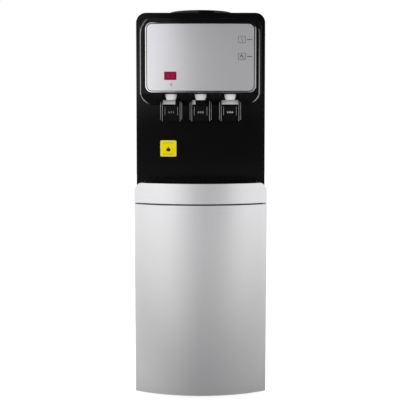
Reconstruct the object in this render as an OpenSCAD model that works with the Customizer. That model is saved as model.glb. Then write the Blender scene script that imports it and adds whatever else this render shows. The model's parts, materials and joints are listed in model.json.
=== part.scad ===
// Freestanding water dispenser: bow-front storage cabinet, three cup-push taps, bottle seat on top.
// Millimetres. The origin lies on the floor under the middle of the object, the front faces -Y and +Z is up.

/* [Body] */
// Width across the two side panels
body_w = 310; // [304:1:330]
// Depth from the bow of the door to the wires of the condenser
body_d = 370; // [364:1:386]
// Height of the flat top of the head
head_z = 908.5; // [898:0.5:932]
// How far the door and the waist band bow forward
bow_rise = 50; // [44:1:54]
// Depth of the step from the door's side edge back to the black front
step_d = 91; // [87:1:95]
// Room behind the rear panel for the condenser
rear_space = 30; // [27:1:34]
// Wall of the moulded shells
shell_t = 3; // [2.6:0.1:3.4]
// Thickness of the folded steel sheets
sheet_t = 1; // [0.8:0.1:1.4]
// Radius of the head's upper corners
head_r = 24; // [18:1:30]
// Clearance between pieces that are fixed together
fit_gap = 0.3; // [0.2:0.05:0.4]
// Radial clearance of pins and stems that move in a bore
run_gap = 0.05; // [0.02:0.01:0.1]
// Depth of the front's side and top returns
front_return = 20; // [14:1:24]
// Height of the top cover's skirt
cover_h = 44; // [40:1:48]

/* [Cabinet] */
// Height of the rubber feet
foot_h = 14; // [13:1:18]
// Radius of the rubber feet
foot_r = 18; // [14:1:22]
// Radius of the foot's stem in the base pan
foot_stem_r = 4; // [3:0.5:5]
// Distance of the feet from the sides and the ends of the base pan
foot_inset = 40; // [36:1:50]
// Height of the base pan's folded rim
pan_h = 22; // [18:1:26]
// Height of the door's lower edge above the floor
floor_gap = 13; // [11:0.5:13]
// Height of the door
door_h = 443; // [436:1:448]
// Gap between the door and the waist band
door_gap = 3.5; // [2.5:0.1:5]
// Depth of the door's side walls
door_side_d = 39; // [36:1:42]
// Wall of the door's skin
door_wall = 2.5; // [2:0.1:3]
// How much narrower the door is at its foot, on each side
door_taper = 2; // [0:0.5:3]
// Thickness of the door's inner panel
door_liner_t = 2.7; // [2:0.1:3.2]
// Thickness of the magnetic door gasket
gasket_t = 2.6; // [2:0.1:3]
// Width of the gasket's strip
gasket_w = 9; // [7:0.5:11]
// Length of the finger slot in the door's left wall
grip_len = 96; // [70:1:120]
// Width of the finger slot
grip_w = 18; // [15:0.5:20]
// Radius of the door's hinge pins
hinge_r = 3; // [2.5:0.1:3.5]
// Distance of the hinge axis from the side of the body
hinge_inset = 8; // [7:0.5:10]
// Distance of the hinge axis in front of the door's back
hinge_ahead = 17; // [15:0.5:19]
// Wall of the cabinet liner
liner_t = 2.5; // [2:0.1:3]
// Distance of the liner's side walls from the body's sides
liner_inset = 17; // [15:0.5:22]
// Height of the liner's front floor
liner_floor = 52; // [48:1:60]
// Height of the liner's shelf over the compressor
liner_shelf = 205; // [200:1:220]
// Room between the liner's low back and the compressor
comp_room = 14; // [10:1:30]
// Room between the liner's high back and the rear panel
liner_room = 21; // [20:1:40]
// Height of the waist band
band_h = 46.5; // [44:0.5:52]
// Radius of the waist band's upper corners
band_r = 20; // [14:1:20]
// Wall of the waist band
band_t = 4; // [3.5:0.1:5]
// Distance of the drip tray's well from the body's sides
well_inset = 21; // [19:1:35]

/* [Drip tray] */
// Wall of the drip tray
tray_t = 2; // [1.6:0.1:2.4]
// Clearance of the drip tray in its well
tray_gap = 0.8; // [0.5:0.1:1.2]
// Thickness of the drip grille
grille_t = 3; // [2.5:0.1:4]
// Width of a slot in the drip grille
slot_w = 5; // [4:0.2:6]
// Distance between neighbouring slots
slot_pitch = 12; // [11:0.5:16]

/* [Hood] */
// Distance of the hood's sides from the body's sides
hood_inset = 12; // [9:1:15]
// How far the hood stands out of the front
hood_d = 67; // [64:1:70]
// Bow of the hood's face
hood_bow = 8; // [6:0.5:10]
// Distance of the hood's top below the head's top
hood_drop = 18.5; // [16.5:0.5:22]
// How far the hood's underside falls towards the front
hood_fall = 28; // [24:1:31]
// Radius of the hood's upper corners
hood_r = 22; // [18:1:26]
// Radius of the hood's lower corners
chin_r = 30; // [24:1:34]
// Radius of the hood's upright front edges and of its top edge
hood_edge_r = 6; // [5:0.5:14]
// Distance of the control panel from the hood's sides
panel_inset = 16; // [14:1:20]
// Height of the control panel
panel_h = 158; // [152:1:160]
// Radius of the control panel's corners
panel_r = 13; // [10:1:16]
// Thickness of the control panel
panel_t = 2; // [1.5:0.1:2.5]
// Distance of the control panel above the hood's lower edge
panel_up = 3.5; // [3:0.5:5]
// Distance of the control panel below the hood's top
panel_down = 12.5; // [10.5:0.5:16]
// Width of the bright trim round the control panel
trim_w = 3; // [2:0.1:3.4]
// Thickness of the bright trim
trim_t = 3; // [2.6:0.1:4]
// Width of the display window
display_w = 28.5; // [24:0.5:32]
// Height of the display window
display_h = 19; // [16:0.5:22]
// Distance of the display's middle from the control panel's left end
display_in = 56; // [37:1:66]
// Height of the display's middle above the panel's lower edge
display_up = 36; // [33:1:60]
// Side of the square label
label_w = 39; // [34:1:44]
// Distance of the label's middle from the body's left side
label_in = 77; // [65:1:95]
// Height of the label's middle above the waist band
label_up = 77; // [60:1:90]
// Thickness of the label
label_t = 0.6; // [0.4:0.1:1]

/* [Taps] */
// Distance between the taps
tap_pitch = 70; // [66:1:74]
// Width of a tap body
tap_w = 37; // [36:0.5:39]
// Height of a tap body
tap_h = 28; // [27:0.5:30]
// Distance of the nozzle's axis behind the hood's face
nozzle_in = 24; // [23.5:0.5:26]
// Radius of the nozzle at its top
nozzle_r = 15; // [13:0.5:15.5]
// Radius of the nozzle at its mouth
nozzle_end_r = 11; // [9:0.5:12]
// Length of the nozzle below the tap body
nozzle_len = 19; // [16:0.5:20]
// Radius of the nozzle's water way
nozzle_bore_r = 4.5; // [3.5:0.1:5]
// Distance of the paddle's pivot behind the nozzle's axis
pivot_back = 19; // [18.5:0.5:20]
// Distance of the paddle's pivot below the tap body
pivot_drop = 12; // [11.5:0.5:13]
// Radius of the pivot pin
pivot_r = 2; // [1.5:0.1:2.4]
// Thickness of the ears that hold the pivot pin
ear_t = 3; // [2.5:0.1:3.5]
// Width of a paddle
paddle_w = 51; // [48:0.5:54]
// Height of a paddle's plate
paddle_h = 48; // [44:1:58]
// Thickness of a paddle's plate
paddle_t = 4; // [3:0.1:5]
// Width of the raised rims at the sides of a paddle
rim_w = 5; // [4:0.1:6]
// Height of the raised rims
rim_d = 7; // [5:0.5:8]
// Radius of the paddle's lower corners
paddle_r = 5; // [3:0.5:7]
// Height of the sloped shoulder at the top of a paddle
shoulder_h = 12; // [9:0.5:14]
// Width of the raised plate in the middle of a paddle
plate_w = 31; // [28:0.5:34]
// Height of the raised plate
plate_h = 22; // [18:0.5:24]
// Length of the paddle's arm under the valve stem
arm_len = 13; // [12:0.5:13.5]
// Radius of the round end of the arm
arm_r = 3.5; // [3:0.1:4]
// Radius of the valve stem
stem_r = 2.5; // [2:0.1:2.8]
// Radius of the valve's disc
disc_r = 6.5; // [6:0.1:7]
// Radius of the valve's chamber
chamber_r = 8; // [7.6:0.1:8.4]
// Wire radius of the valve spring
wire_r = 0.6; // [0.5:0.05:0.7]
// Turns of the valve spring
spring_turns = 4.5; // [3.5:0.5:5]
// Outer radius of the tap's inlet spigot
spigot_r = 3.5; // [3:0.1:3.8]
// Bore radius of the spigots
spigot_bore = 2; // [1.5:0.1:2.4]

/* [Tanks and water tubes] */
// Room round the cold tank for its foam and the tubes before it
tank_room = 42; // [40:1:48]
// Height of the cold tank
cold_h = 210; // [190:1:212]
// Wall of both tanks
tank_t = 1.2; // [0.8:0.1:1.6]
// Radius of the evaporator's tube
coil_r = 3.5; // [3:0.1:3.8]
// Turns of the evaporator
coil_turns = 9; // [5:1:12]
// Distance between the evaporator's turns
coil_pitch = 15; // [12:0.5:16]
// Wall of the cold tank's foam
foam_t = 14; // [10:0.5:15]
// Radius of the hot tank
hot_r = 42; // [36:1:44]
// Height of the hot tank
hot_h = 120; // [100:1:124]
// Wall of the hot tank's jacket
jacket_t = 13; // [9:0.5:14]
// Distance of the upper deck above the lower deck
deck_pitch = 150; // [148:1:154]
// Outer radius of the water tubes
tube_r = 5.5; // [5:0.1:6]
// Radius of the bends in the water tubes
tube_bend = 6; // [6:0.1:6.5]

/* [Cooling] */
// Radius of the compressor
comp_r = 52; // [46:1:53]
// Height of the compressor's shell
comp_h = 125; // [110:1:135]
// Height of the compressor's rubber mounts
comp_mount_h = 25; // [20:1:28]
// Radius of the condenser's tube
cond_r = 2.4; // [2:0.1:3]
// Runs of the condenser's tube
cond_runs = 11; // [7:2:11]
// Distance between the condenser's runs
cond_pitch = 32; // [28:1:32]
// Distance of the condenser's straight runs from the body's sides
cond_inset = 30; // [29:1:45]
// Height of the condenser's lowest run
cond_z = 170; // [150:1:172]
// Wires along the condenser
cond_wires = 10; // [6:1:14]
// Radius of the refrigerant line
line_r = 3; // [2.5:0.1:3.5]
// Radius of the drier
drier_r = 9; // [7:0.5:10]

/* [Bottle seat] */
// How far the collar's rim lies outside the opening in the top cover
collar_lap = 14; // [10:1:20]
// Height of the collar's rim above the head
collar_h = 9; // [8:0.5:14]
// How far the opening in the top cover lies outside the cold tank's wall
seat_room = 8; // [4:1:10]
// Depth of the neck well's foot below the head's top
neck_drop = 38.4; // [37.4:0.5:41.9]
// Radius of the neck well
neck_r = 29; // [27:0.5:31]
// Radius of the feed probe
probe_r = 8; // [6:0.5:9]
// Length of the feed probe
probe_len = 34; // [28:1:40]

/* [Rear service plate] */
// Width of the service plate
service_w = 52; // [50:1:56]
// Height of the service plate
service_h = 62; // [60:1:66]
// Width of a rocker switch
rocker_w = 11.6; // [10:0.2:13]
// Height of a rocker switch
rocker_h = 20; // [18:0.5:22]
// Radius of the drain pipe
drain_r = 6; // [5:0.5:7]

/* [Hidden] */
$fn = 96;

// Main planes of the body
half_w = body_w / 2;
front_y = -body_d / 2;
edge_y = front_y + bow_rise;
fascia_y = edge_y + step_d;
rear_y = body_d / 2 - rear_space;
hood_w = body_w - 2 * hood_inset;
panel_w = hood_w - 2 * panel_inset;
display_left = panel_w / 2 - display_in;
well_half = half_w - well_inset;
label_left = half_w - label_in;
cond_w = body_w - 2 * cond_inset;
hood_face_h = panel_up + panel_h + panel_down;
inner_half = half_w - sheet_t - fit_gap;
bow_r = (half_w * half_w + bow_rise * bow_rise) / (2 * bow_rise);
cut = 1;

// Levels of the cabinet
door_top = floor_gap + door_h;
band_z = door_top + door_gap;
band_top = band_z + band_h;
door_back_y = edge_y + door_side_d;
frame_y = door_back_y + gasket_t + 2 * fit_gap;
pan_top = foot_h + pan_h;
hinge_x = half_w - hinge_inset;
hinge_y = door_back_y - hinge_ahead;
return_y = fascia_y + front_return + fit_gap;
cover_z = head_z - cover_h;
liner_half = half_w - liner_inset;
liner_top = door_top - liner_inset;
comp_y = rear_y - comp_r - 10;
liner_low_d = comp_y - comp_r - comp_room - frame_y;
liner_d = rear_y - sheet_t - liner_room - frame_y;

// Levels of the tanks, from the head down
well_low = head_z - neck_drop;
cold_top = well_low + 4;
cold_z = cold_top - cold_h;
foam_z = cold_z - fit_gap - foam_t;
upper_deck_z = foam_z - fit_gap - sheet_t;
deck_z = upper_deck_z - deck_pitch;

// Levels of the hood and the taps
hood_front = fascia_y - hood_d;
hood_top = head_z - hood_drop;
chin_z = hood_top - hood_face_h;
hood_low = chin_z - hood_fall;
hood_half = hood_w / 2;
hood_bow_r = (hood_half * hood_half + hood_bow * hood_bow) / (2 * hood_bow);
panel_z = chin_z + panel_up;
tape = 0.1;
display_z = panel_z + display_up;
tap_z = chin_z + 2;
tap_top = tap_z + tap_h;
nozzle_y = hood_front + nozzle_in;
pivot_y = nozzle_y + pivot_back;
pivot_z = tap_z - pivot_drop;
stem_y = pivot_y + arm_len;
tap_front = nozzle_y - 10;
tap_xs = [-tap_pitch, 0, tap_pitch];
seat_z = tap_z + 8;
roof_t = 3.5;
roof_z = tap_top - roof_t;
disc_t = 2.7;
inlet_z = seat_z + chamber_r;
stem_foot = pivot_z + arm_r + fit_gap;
spring_z = seat_z + fit_gap + disc_t + fit_gap;
ear_half = tap_w / 2;
hub_half = ear_half - ear_t - fit_gap;
hub_r = pivot_r + 3;
ear_r = pivot_r + 4;
paddle_top = pivot_z - 9;
shoulder_top = pivot_z - ear_r - 0.5;
spigot_end = fascia_y + shell_t + 5;

// Places of the tanks, the tubes and the cooling parts
tank_y = (fascia_y + shell_t + rear_y) / 2;
cold_r = rear_y - tank_y - tank_room;
mouth_r = neck_r + shell_t + (cold_r - neck_r - shell_t) / 3;
seat_r = cold_r + seat_room;
collar_r = seat_r + collar_lap;
foam_in = cold_r + 2 * coil_r + 1;
foam_r = foam_in + foam_t;
coil_mid_r = (cold_r + foam_in) / 2;
coil_z = cold_z + 30;
coil_end_z = coil_z + coil_turns * coil_pitch;
hot_x = -tap_pitch;
hot_y = tank_y + 18;
hot_z = deck_z + sheet_t + fit_gap;
hot_top = hot_z + hot_h;
tube_y = spigot_end + tube_bend;
tube_bore = spigot_r + 0.1;
feed_x = cold_r / 2 + 2;
feed_y = hot_y;
ambient_z = coil_end_z + coil_r + spigot_r + 2;
cold_run_z = upper_deck_z - 18;
hot_run_z = upper_deck_z - 13;
comp_x = half_w - 115;
comp_z = foot_h + sheet_t + comp_mount_h + 3;
cond_wire_r = 0.9;
cond_y = body_d / 2 - cond_r - cond_wire_r;
cond_top = cond_z + (cond_runs - 1) * cond_pitch;
cond_half = cond_w / 2;
line_bend = 10;
line_x = cond_half + 14;
line_y = rear_y - 14;
suction_x = half_w - 9;
service_x = half_w - 45;
service_z = upper_deck_z + 106;
service_d = 26;
rocker_z = service_z + 12;
rocker_dx = 11;
drain_z = hot_z + 12;
drain_end = rear_y + 16;

// Flat shapes, exact outlines of squares and circles
module rounded_rect(w, h, r) {
    translate([-w / 2 + r, 0]) square([w - 2 * r, h]);
    translate([-w / 2, r]) square([w, h - 2 * r]);
    for (x = [-w / 2 + r, w / 2 - r], y = [r, h - r]) translate([x, y]) circle(r);
}

module rounded_top(w, h, r) {
    difference() {
        translate([-w / 2, 0]) square([w, h]);
        for (s = [-1, 1]) difference() {
            translate([s * (w / 2 - r / 2 + cut / 2) - (r + cut) / 2, h - r]) square(r + cut);
            translate([s * (w / 2 - r), h - r]) circle(r);
        }
    }
}

module rounded_ends(w, h, low_r, top_r) {
    translate([-w / 2, low_r]) square([w, h - low_r - top_r]);
    translate([-w / 2 + low_r, 0]) square([w - 2 * low_r, h / 2]);
    translate([-w / 2 + top_r, h / 2]) square([w - 2 * top_r, h / 2]);
    for (x = [-w / 2 + low_r, w / 2 - low_r]) translate([x, low_r]) circle(low_r);
    for (x = [-w / 2 + top_r, w / 2 - top_r]) translate([x, h - top_r]) circle(top_r);
}

// A front-view outline extruded from y0 back to y1
module across_y(y0, y1) {
    translate([0, y1, 0]) rotate([90, 0, 0]) linear_extrude(y1 - y0) children();
}

// A side-view outline extruded from x0 to x1
module across_x(x0, x1) {
    translate([x0, 0, 0]) rotate([90, 0, 90]) linear_extrude(x1 - x0) children();
}

// A box given by its two corners
module block(low, high) {
    translate(low) cube(high - low);
}

// The bow-fronted column that the door and the waist band are cut from
module bow_column(half, inset, y_back, z0, z1) {
    intersection() {
        block([-half, front_y - cut, z0], [half, y_back, z1]);
        translate([0, front_y + bow_r, z0]) cylinder(r = bow_r - inset, h = z1 - z0, $fn = 240);
    }
}

// A round bar from a to b
module bar(a, b, r) {
    d = b - a;
    l = norm(d);
    translate(a) rotate([0, acos(d[2] / l), atan2(d[1], d[0])]) cylinder(r = r, h = l, $fn = 48);
}

// A quarter bend at corner p, arriving along u and leaving along v
module quarter_bend(p, u, v, bend, r) {
    c = p - u * bend + v * bend;
    w = cross(u, v);
    multmatrix([[-v[0], u[0], w[0], c[0]], [-v[1], u[1], w[1], c[1]], [-v[2], u[2], w[2], c[2]]])
        rotate_extrude(angle = 90, $fn = 48) translate([bend, 0]) circle(r, $fn = 48);
}

function toward(a, b) = (b - a) / norm(b - a);

// A pipe along points joined at right angles
module pipe(points, r, bend) {
    last = len(points) - 1;
    for (i = [0 : last - 1]) {
        u = toward(points[i], points[i + 1]);
        a = i == 0 ? points[i] : points[i] + u * bend;
        b = i == last - 1 ? points[i + 1] : points[i + 1] - u * bend;
        bar(a, b, r);
        if (i < last - 1) quarter_bend(points[i + 1], u, toward(points[i + 1], points[i + 2]), bend, r);
    }
}

function lengthened(points, extra) = let (last = len(points) - 1) [
    for (i = [0 : last]) i == 0 ? points[0] - toward(points[0], points[1]) * extra
        : i == last ? points[last] + toward(points[last - 1], points[last]) * extra : points[i]];

// A hose with its bore
module hose(points) {
    difference() {
        pipe(points, tube_r, tube_bend);
        pipe(lengthened(points, cut), tube_bore, tube_bend);
    }
}

// A wound round wire: one unbroken tube of the given turns round +Z
function coil_centre(i, r, pitch, rings) = [r * cos(360 * i / rings), r * sin(360 * i / rings), pitch * i / rings];

module wound_tube(r, tube, pitch, turns, rings) {
    sides = 6;
    last = round(turns * rings);
    centres = [for (i = [0 : last]) coil_centre(i, r, pitch, rings)];
    gap = min([for (i = [0 : last - rings + 2], j = [i + rings - 2 : min(last, i + rings + 2)])
        norm(centres[i] - centres[j])]) - 2 * tube;
    echo("least gap between turns", gap);
    points = [for (i = [0 : last], k = [0 : sides - 1])
        let (a = 360 * i / rings, t = 360 * k / sides)
        centres[i] + tube * [cos(t) * cos(a), cos(t) * sin(a), sin(t)]];
    walls = [for (i = [0 : last - 1], k = [0 : sides - 1], half = [0, 1])
        let (n = (k + 1) % sides, a = i * sides, b = a + sides)
        half == 0 ? [a + k, a + n, b + n] : [a + k, b + n, b + k]];
    ends = [for (k = [1 : sides - 2], end = [0, 1])
        let (b = last * sides) end == 0 ? [0, k + 1, k] : [b, b + k, b + k + 1]];
    polyhedron(points, concat(walls, ends));
}

// Base and outer panels

module base_pan() {
    color("dimgray") difference() {
        block([-inner_half, frame_y, foot_h], [inner_half, rear_y - sheet_t - fit_gap, pan_top]);
        block([-inner_half + sheet_t, frame_y + sheet_t, foot_h + sheet_t],
            [inner_half - sheet_t, rear_y - 2 * sheet_t - fit_gap, pan_top + cut]);
        for (p = foot_places) translate([p[0], p[1], foot_h - cut])
            cylinder(r = foot_stem_r + run_gap, h = sheet_t + 2 * cut);
    }
}

foot_places = [for (x = [-half_w + foot_inset, half_w - foot_inset], y = [frame_y + foot_inset, rear_y - foot_inset])
    [x, y]];

module rubber_feet() {
    color("black") for (p = foot_places) translate([p[0], p[1], 0]) {
        cylinder(r1 = foot_r - 3, r2 = foot_r, h = 4);
        translate([0, 0, 4]) cylinder(r = foot_r, h = foot_h - 4);
        cylinder(r = foot_stem_r, h = foot_h + sheet_t + 3);
    }
}

module side_outline() {
    polygon([[frame_y, foot_h], [rear_y, foot_h], [rear_y, cover_z - fit_gap], [return_y, cover_z - fit_gap],
        [return_y, band_z - fit_gap], [frame_y, band_z - fit_gap]]);
}

module left_side_panel() {
    color([0.06, 0.06, 0.065]) across_x(-half_w, -half_w + sheet_t) side_outline();
}

module right_side_panel() {
    color([0.06, 0.06, 0.065]) across_x(half_w - sheet_t, half_w) side_outline();
}

louvre_w = 100;
louvre_h = 3.5;
louvre_pitch = 11;
louvre_count = 8;
screw_places = [for (x = [-inner_half + 12, inner_half - 12], z = [pan_top + 24, deck_z - 60, cover_z - 20]) [x, z]];
screw_r = 2;
screw_head_h = 2.4;
screw_len = 9;

module rear_panel() {
    color("dimgray") difference() {
        block([-inner_half, rear_y - sheet_t, foot_h + sheet_t], [inner_half, rear_y, cover_z - fit_gap]);
        for (i = [0 : louvre_count - 1])
            block([comp_x - louvre_w / 2, rear_y - sheet_t - cut, pan_top + 14 + i * louvre_pitch],
                [comp_x + louvre_w / 2, rear_y + cut, pan_top + 14 + louvre_h + i * louvre_pitch]);
        block([service_x - service_w / 2 + 3, rear_y - sheet_t - cut, service_z - service_h / 2 + 3],
            [service_x + service_w / 2 - 3, rear_y + cut, service_z + service_h / 2 - 3]);
        translate([hot_x, rear_y + cut, drain_z]) rotate([90, 0, 0])
            cylinder(r = drain_r + fit_gap, h = sheet_t + 2 * cut);
        for (p = [[-line_x, discharge_z], [line_x, cond_top]]) translate([p[0], rear_y + cut, p[1]])
            rotate([90, 0, 0]) cylinder(r = line_r + 2, h = sheet_t + 2 * cut);
        for (p = screw_places) translate([p[0], rear_y + cut, p[1]]) rotate([90, 0, 0])
            cylinder(r = screw_r + run_gap, h = sheet_t + 2 * cut);
    }
}

module rear_screws() {
    color("silver") for (p = screw_places) translate([p[0], rear_y, p[1]]) rotate([90, 0, 0]) {
        translate([0, 0, -screw_head_h]) cylinder(r = 2 * screw_r, h = screw_head_h);
        cylinder(r = screw_r, h = screw_len);
    }
}

module top_cover() {
    color([0.06, 0.06, 0.065]) difference() {
        across_y(return_y, rear_y) translate([0, cover_z]) rounded_top(body_w, cover_h, head_r);
        across_y(return_y - cut, rear_y - shell_t) translate([0, cover_z - cut])
            rounded_top(body_w - 2 * shell_t, cover_h + cut - shell_t, head_r - shell_t);
        translate([0, tank_y, cover_z]) cylinder(r = seat_r, h = cover_h + cut);
    }
}

module front_fascia() {
    color([0.05, 0.05, 0.055]) difference() {
        across_y(fascia_y, fascia_y + front_return) translate([0, band_z])
            rounded_top(body_w, head_z - band_z, head_r);
        across_y(fascia_y + shell_t, return_y + cut) translate([0, band_z - cut])
            rounded_top(body_w - 2 * shell_t, head_z - band_z + cut - shell_t, head_r - shell_t);
        for (x = tap_xs) translate([x, fascia_y - cut, inlet_z]) rotate([-90, 0, 0])
            cylinder(r = spigot_r + fit_gap, h = shell_t + 2 * cut);
    }
}

// Hood and control panel

// Side view of the hood, drawn in by the given inset; its back is the front fascia's plane
module hood_side(inset, back) {
    slope = hood_fall / hood_d;
    rise = inset * sqrt(1 + slope * slope);
    y0 = hood_front + inset;
    r = hood_edge_r - inset;
    z1 = hood_top - inset;
    difference() {
        polygon([[y0, chin_z + rise - slope * inset], [y0, z1], [back, z1],
            [back, chin_z + rise - slope * (back - hood_front)]]);
        difference() {
            translate([y0 - cut, z1 - r]) square(r + cut);
            translate([y0 + r, z1 - r]) circle(r);
        }
    }
}

// Plan of the hood: bowed face and round upright edges
module hood_plan(inset, back) {
    half = hood_half - inset;
    r = hood_edge_r - inset;
    y0 = hood_front + hood_bow + inset;
    intersection() {
        translate([0, hood_front + hood_bow_r]) circle(hood_bow_r - inset, $fn = 360);
        union() {
            translate([-half, y0 + r]) square([2 * half, back - y0 - r]);
            translate([-half + r, hood_front - cut]) square([2 * half - 2 * r, back - hood_front + cut]);
            for (x = [-half + r, half - r]) translate([x, y0 + r]) circle(r);
        }
    }
}

module hood_form(inset, back) {
    intersection() {
        across_y(hood_front - cut, back) translate([0, hood_low + inset])
            rounded_ends(hood_w - 2 * inset, hood_top - hood_low - 2 * inset, chin_r - inset, hood_r - inset);
        across_x(-hood_half, hood_half) hood_side(inset, back);
        translate([0, 0, hood_low]) linear_extrude(hood_top - hood_low) hood_plan(inset, back);
    }
}

tap_slot_half = tap_w / 2 + 2;

module hood_shell() {
    color([0.05, 0.05, 0.055]) difference() {
        hood_form(0, fascia_y);
        hood_form(shell_t, fascia_y + cut);
        for (x = tap_xs) block([x - tap_slot_half, nozzle_y - nozzle_r - 1.5, hood_low - cut],
            [x + tap_slot_half, fascia_y - shell_t, tap_z]);
        block([-display_left - display_w / 2 + 2, hood_front - cut, display_z - display_h / 2 + 2],
            [-display_left + display_w / 2 - 2, hood_front + hood_bow + shell_t, display_z + display_h / 2 - 2]);
    }
}

// A front-view outline laid on the hood's bowed face
module on_hood_face(t) {
    intersection() {
        difference() {
            translate([0, hood_front + hood_bow_r, hood_low])
                cylinder(r = hood_bow_r + tape + t, h = hood_top - hood_low, $fn = 720);
            translate([0, hood_front + hood_bow_r, hood_low - cut])
                cylinder(r = hood_bow_r + tape, h = hood_top - hood_low + 2 * cut, $fn = 720);
        }
        across_y(hood_front - trim_t - cut, hood_front + hood_bow + cut) children();
    }
}

module display_outline(extra) {
    translate([-display_left - display_w / 2 - extra, display_z - display_h / 2 - extra])
        square([display_w + 2 * extra, display_h + 2 * extra]);
}

module control_panel() {
    color([0.78, 0.78, 0.79]) on_hood_face(panel_t) difference() {
        translate([0, panel_z]) rounded_rect(panel_w, panel_h, panel_r);
        display_outline(tape);
    }
}

module panel_trim() {
    color([0.9, 0.9, 0.91]) on_hood_face(trim_t) difference() {
        translate([0, panel_z - trim_w]) rounded_rect(panel_w + 2 * trim_w, panel_h + 2 * trim_w, panel_r + trim_w);
        translate([0, panel_z - tape]) rounded_rect(panel_w + 2 * tape, panel_h + 2 * tape, panel_r + tape);
    }
}

module display_window() {
    color([0.56, 0.08, 0.2]) on_hood_face(panel_t + 0.3) display_outline(0);
}

board_t = 1.6;
led_d = 5;
post_r = 2.5;
post_dx = 24;
function hood_inner_y(x) = hood_front + hood_bow_r - sqrt(pow(hood_bow_r - shell_t, 2) - x * x);
board_y = hood_front + hood_bow + shell_t + led_d;

module display_board() {
    color("darkgreen") {
        block([-display_left - 30, board_y, tap_top + 1], [-display_left + 30, board_y + board_t, tap_top + 50]);
        block([-display_left - display_w / 2 + 3, hood_front + shell_t + 3, display_z - display_h / 2 + 3],
            [-display_left + display_w / 2 - 3, board_y, display_z + display_h / 2 - 3]);
        for (s = [-1, 1]) {
            x = -display_left + s * post_dx;
            bar([x, board_y, tap_top + 44], [x, hood_inner_y(x - post_r) + fit_gap, tap_top + 44], post_r);
        }
    }
}

module plain_label() {
    color([0.88, 0.78, 0.1]) across_y(fascia_y - label_t, fascia_y)
        translate([-label_left, band_top + label_up - label_w / 2]) rounded_rect(label_w, label_w, 3);
}

// Waist band, cabinet and door

module waist_band() {
    color([0.8, 0.8, 0.81]) difference() {
        intersection() {
            bow_column(half_w, 0, fascia_y, band_z, band_top);
            across_y(front_y - cut, fascia_y) translate([0, band_z]) rounded_top(body_w, band_h, band_r);
        }
        bow_column(well_half, band_t, fascia_y - band_t, band_z + band_t, band_top + cut);
        translate([hinge_x, hinge_y, band_z - cut]) cylinder(r = hinge_r + run_gap, h = hinge_head_z - band_z + cut);
    }
}

hinge_head_z = band_z + 12;
hinge_depth = 9;
leaf_t = 3;
leaf_in = 8;
leaf_out = 5;
leaf_back = 30;
leaf_top = floor_gap - 0.5;

module door_hinges() {
    color("silver") {
        translate([hinge_x, hinge_y, door_top - door_wall - hinge_depth])
            cylinder(r = hinge_r, h = hinge_head_z - fit_gap - door_top + door_wall + hinge_depth);
        translate([hinge_x, hinge_y, floor_gap - 1]) cylinder(r = hinge_r, h = door_wall + hinge_depth + 1);
        block([hinge_x - leaf_in, hinge_y - 2 * hinge_r, leaf_top - leaf_t],
            [hinge_x + leaf_out, frame_y + leaf_back, leaf_top]);
        block([hinge_x - leaf_in, frame_y + leaf_t, leaf_top - leaf_t],
            [hinge_x + leaf_out, frame_y + leaf_back, foot_h]);
    }
}

module liner_space(inset) {
    y0 = frame_y - (inset > 0 ? cut : 0);
    block([-liner_half + inset, y0, liner_floor + inset],
        [liner_half - inset, frame_y + liner_low_d - inset, liner_top - inset]);
    block([-liner_half + inset, y0, liner_shelf + inset],
        [liner_half - inset, frame_y + liner_d - inset, liner_top - inset]);
}

module cabinet_liner() {
    color("gainsboro") difference() {
        union() {
            liner_space(0);
            block([-inner_half, frame_y, pan_top + fit_gap], [inner_half, frame_y + liner_t, band_z - fit_gap]);
        }
        liner_space(liner_t);
    }
}

function door_half(z) = half_w - door_taper * (door_top - z) / door_h;

module door_outline(inset) {
    z0 = floor_gap + inset;
    z1 = door_top - inset;
    polygon([[-door_half(z0) + inset, z0], [door_half(z0) - inset, z0], [door_half(z1) - inset, z1],
        [-door_half(z1) + inset, z1]]);
}

module door_skin() {
    grip_y = hinge_y - grip_w / 2;
    grip_z = (floor_gap + door_top) / 2;
    color([0.78, 0.78, 0.79]) difference() {
        intersection() {
            bow_column(half_w, 0, door_back_y, floor_gap, door_top);
            across_y(front_y - cut, door_back_y) door_outline(0);
        }
        intersection() {
            bow_column(half_w - cut, door_wall, door_back_y + cut, floor_gap + door_wall, door_top - door_wall);
            across_y(front_y - cut, door_back_y + cut) door_outline(door_wall);
        }
        translate([hinge_x, hinge_y, floor_gap - cut]) cylinder(r = hinge_r + run_gap, h = door_h + 2 * cut);
        block([-half_w - cut, grip_y, grip_z - grip_len / 2],
            [-half_w + door_taper + door_wall + cut, grip_y + grip_w, grip_z + grip_len / 2]);
    }
}

module door_liner() {
    inset = door_wall + fit_gap;
    color("gainsboro") across_y(door_back_y - door_liner_t, door_back_y) door_outline(inset);
}

module door_gasket() {
    edge = hinge_inset + hinge_r;
    color("dimgray") across_y(door_back_y, door_back_y + gasket_t) difference() {
        translate([0, pan_top + 4]) rounded_rect(body_w - 2 * edge, door_top - pan_top - 12, 6);
        translate([0, pan_top + 4 + gasket_w])
            rounded_rect(body_w - 2 * edge - 2 * gasket_w, door_top - pan_top - 12 - 2 * gasket_w, 2);
    }
}

// Drip tray

tray_half = well_half - tray_gap;
tray_back = fascia_y - band_t - tray_gap;
tray_z = band_z + band_t + fit_gap;
grille_seat = band_top - grille_t - fit_gap;

module drip_tray() {
    color([0.05, 0.05, 0.055]) difference() {
        bow_column(tray_half, band_t + tray_gap, tray_back, tray_z, band_top);
        bow_column(tray_half - 3 * tray_t, band_t + tray_gap + 3 * tray_t, tray_back - 3 * tray_t,
            tray_z + tray_t, band_top + cut);
        bow_column(tray_half - tray_t, band_t + tray_gap + tray_t, tray_back - tray_t, grille_seat, band_top + cut);
    }
}

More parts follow.
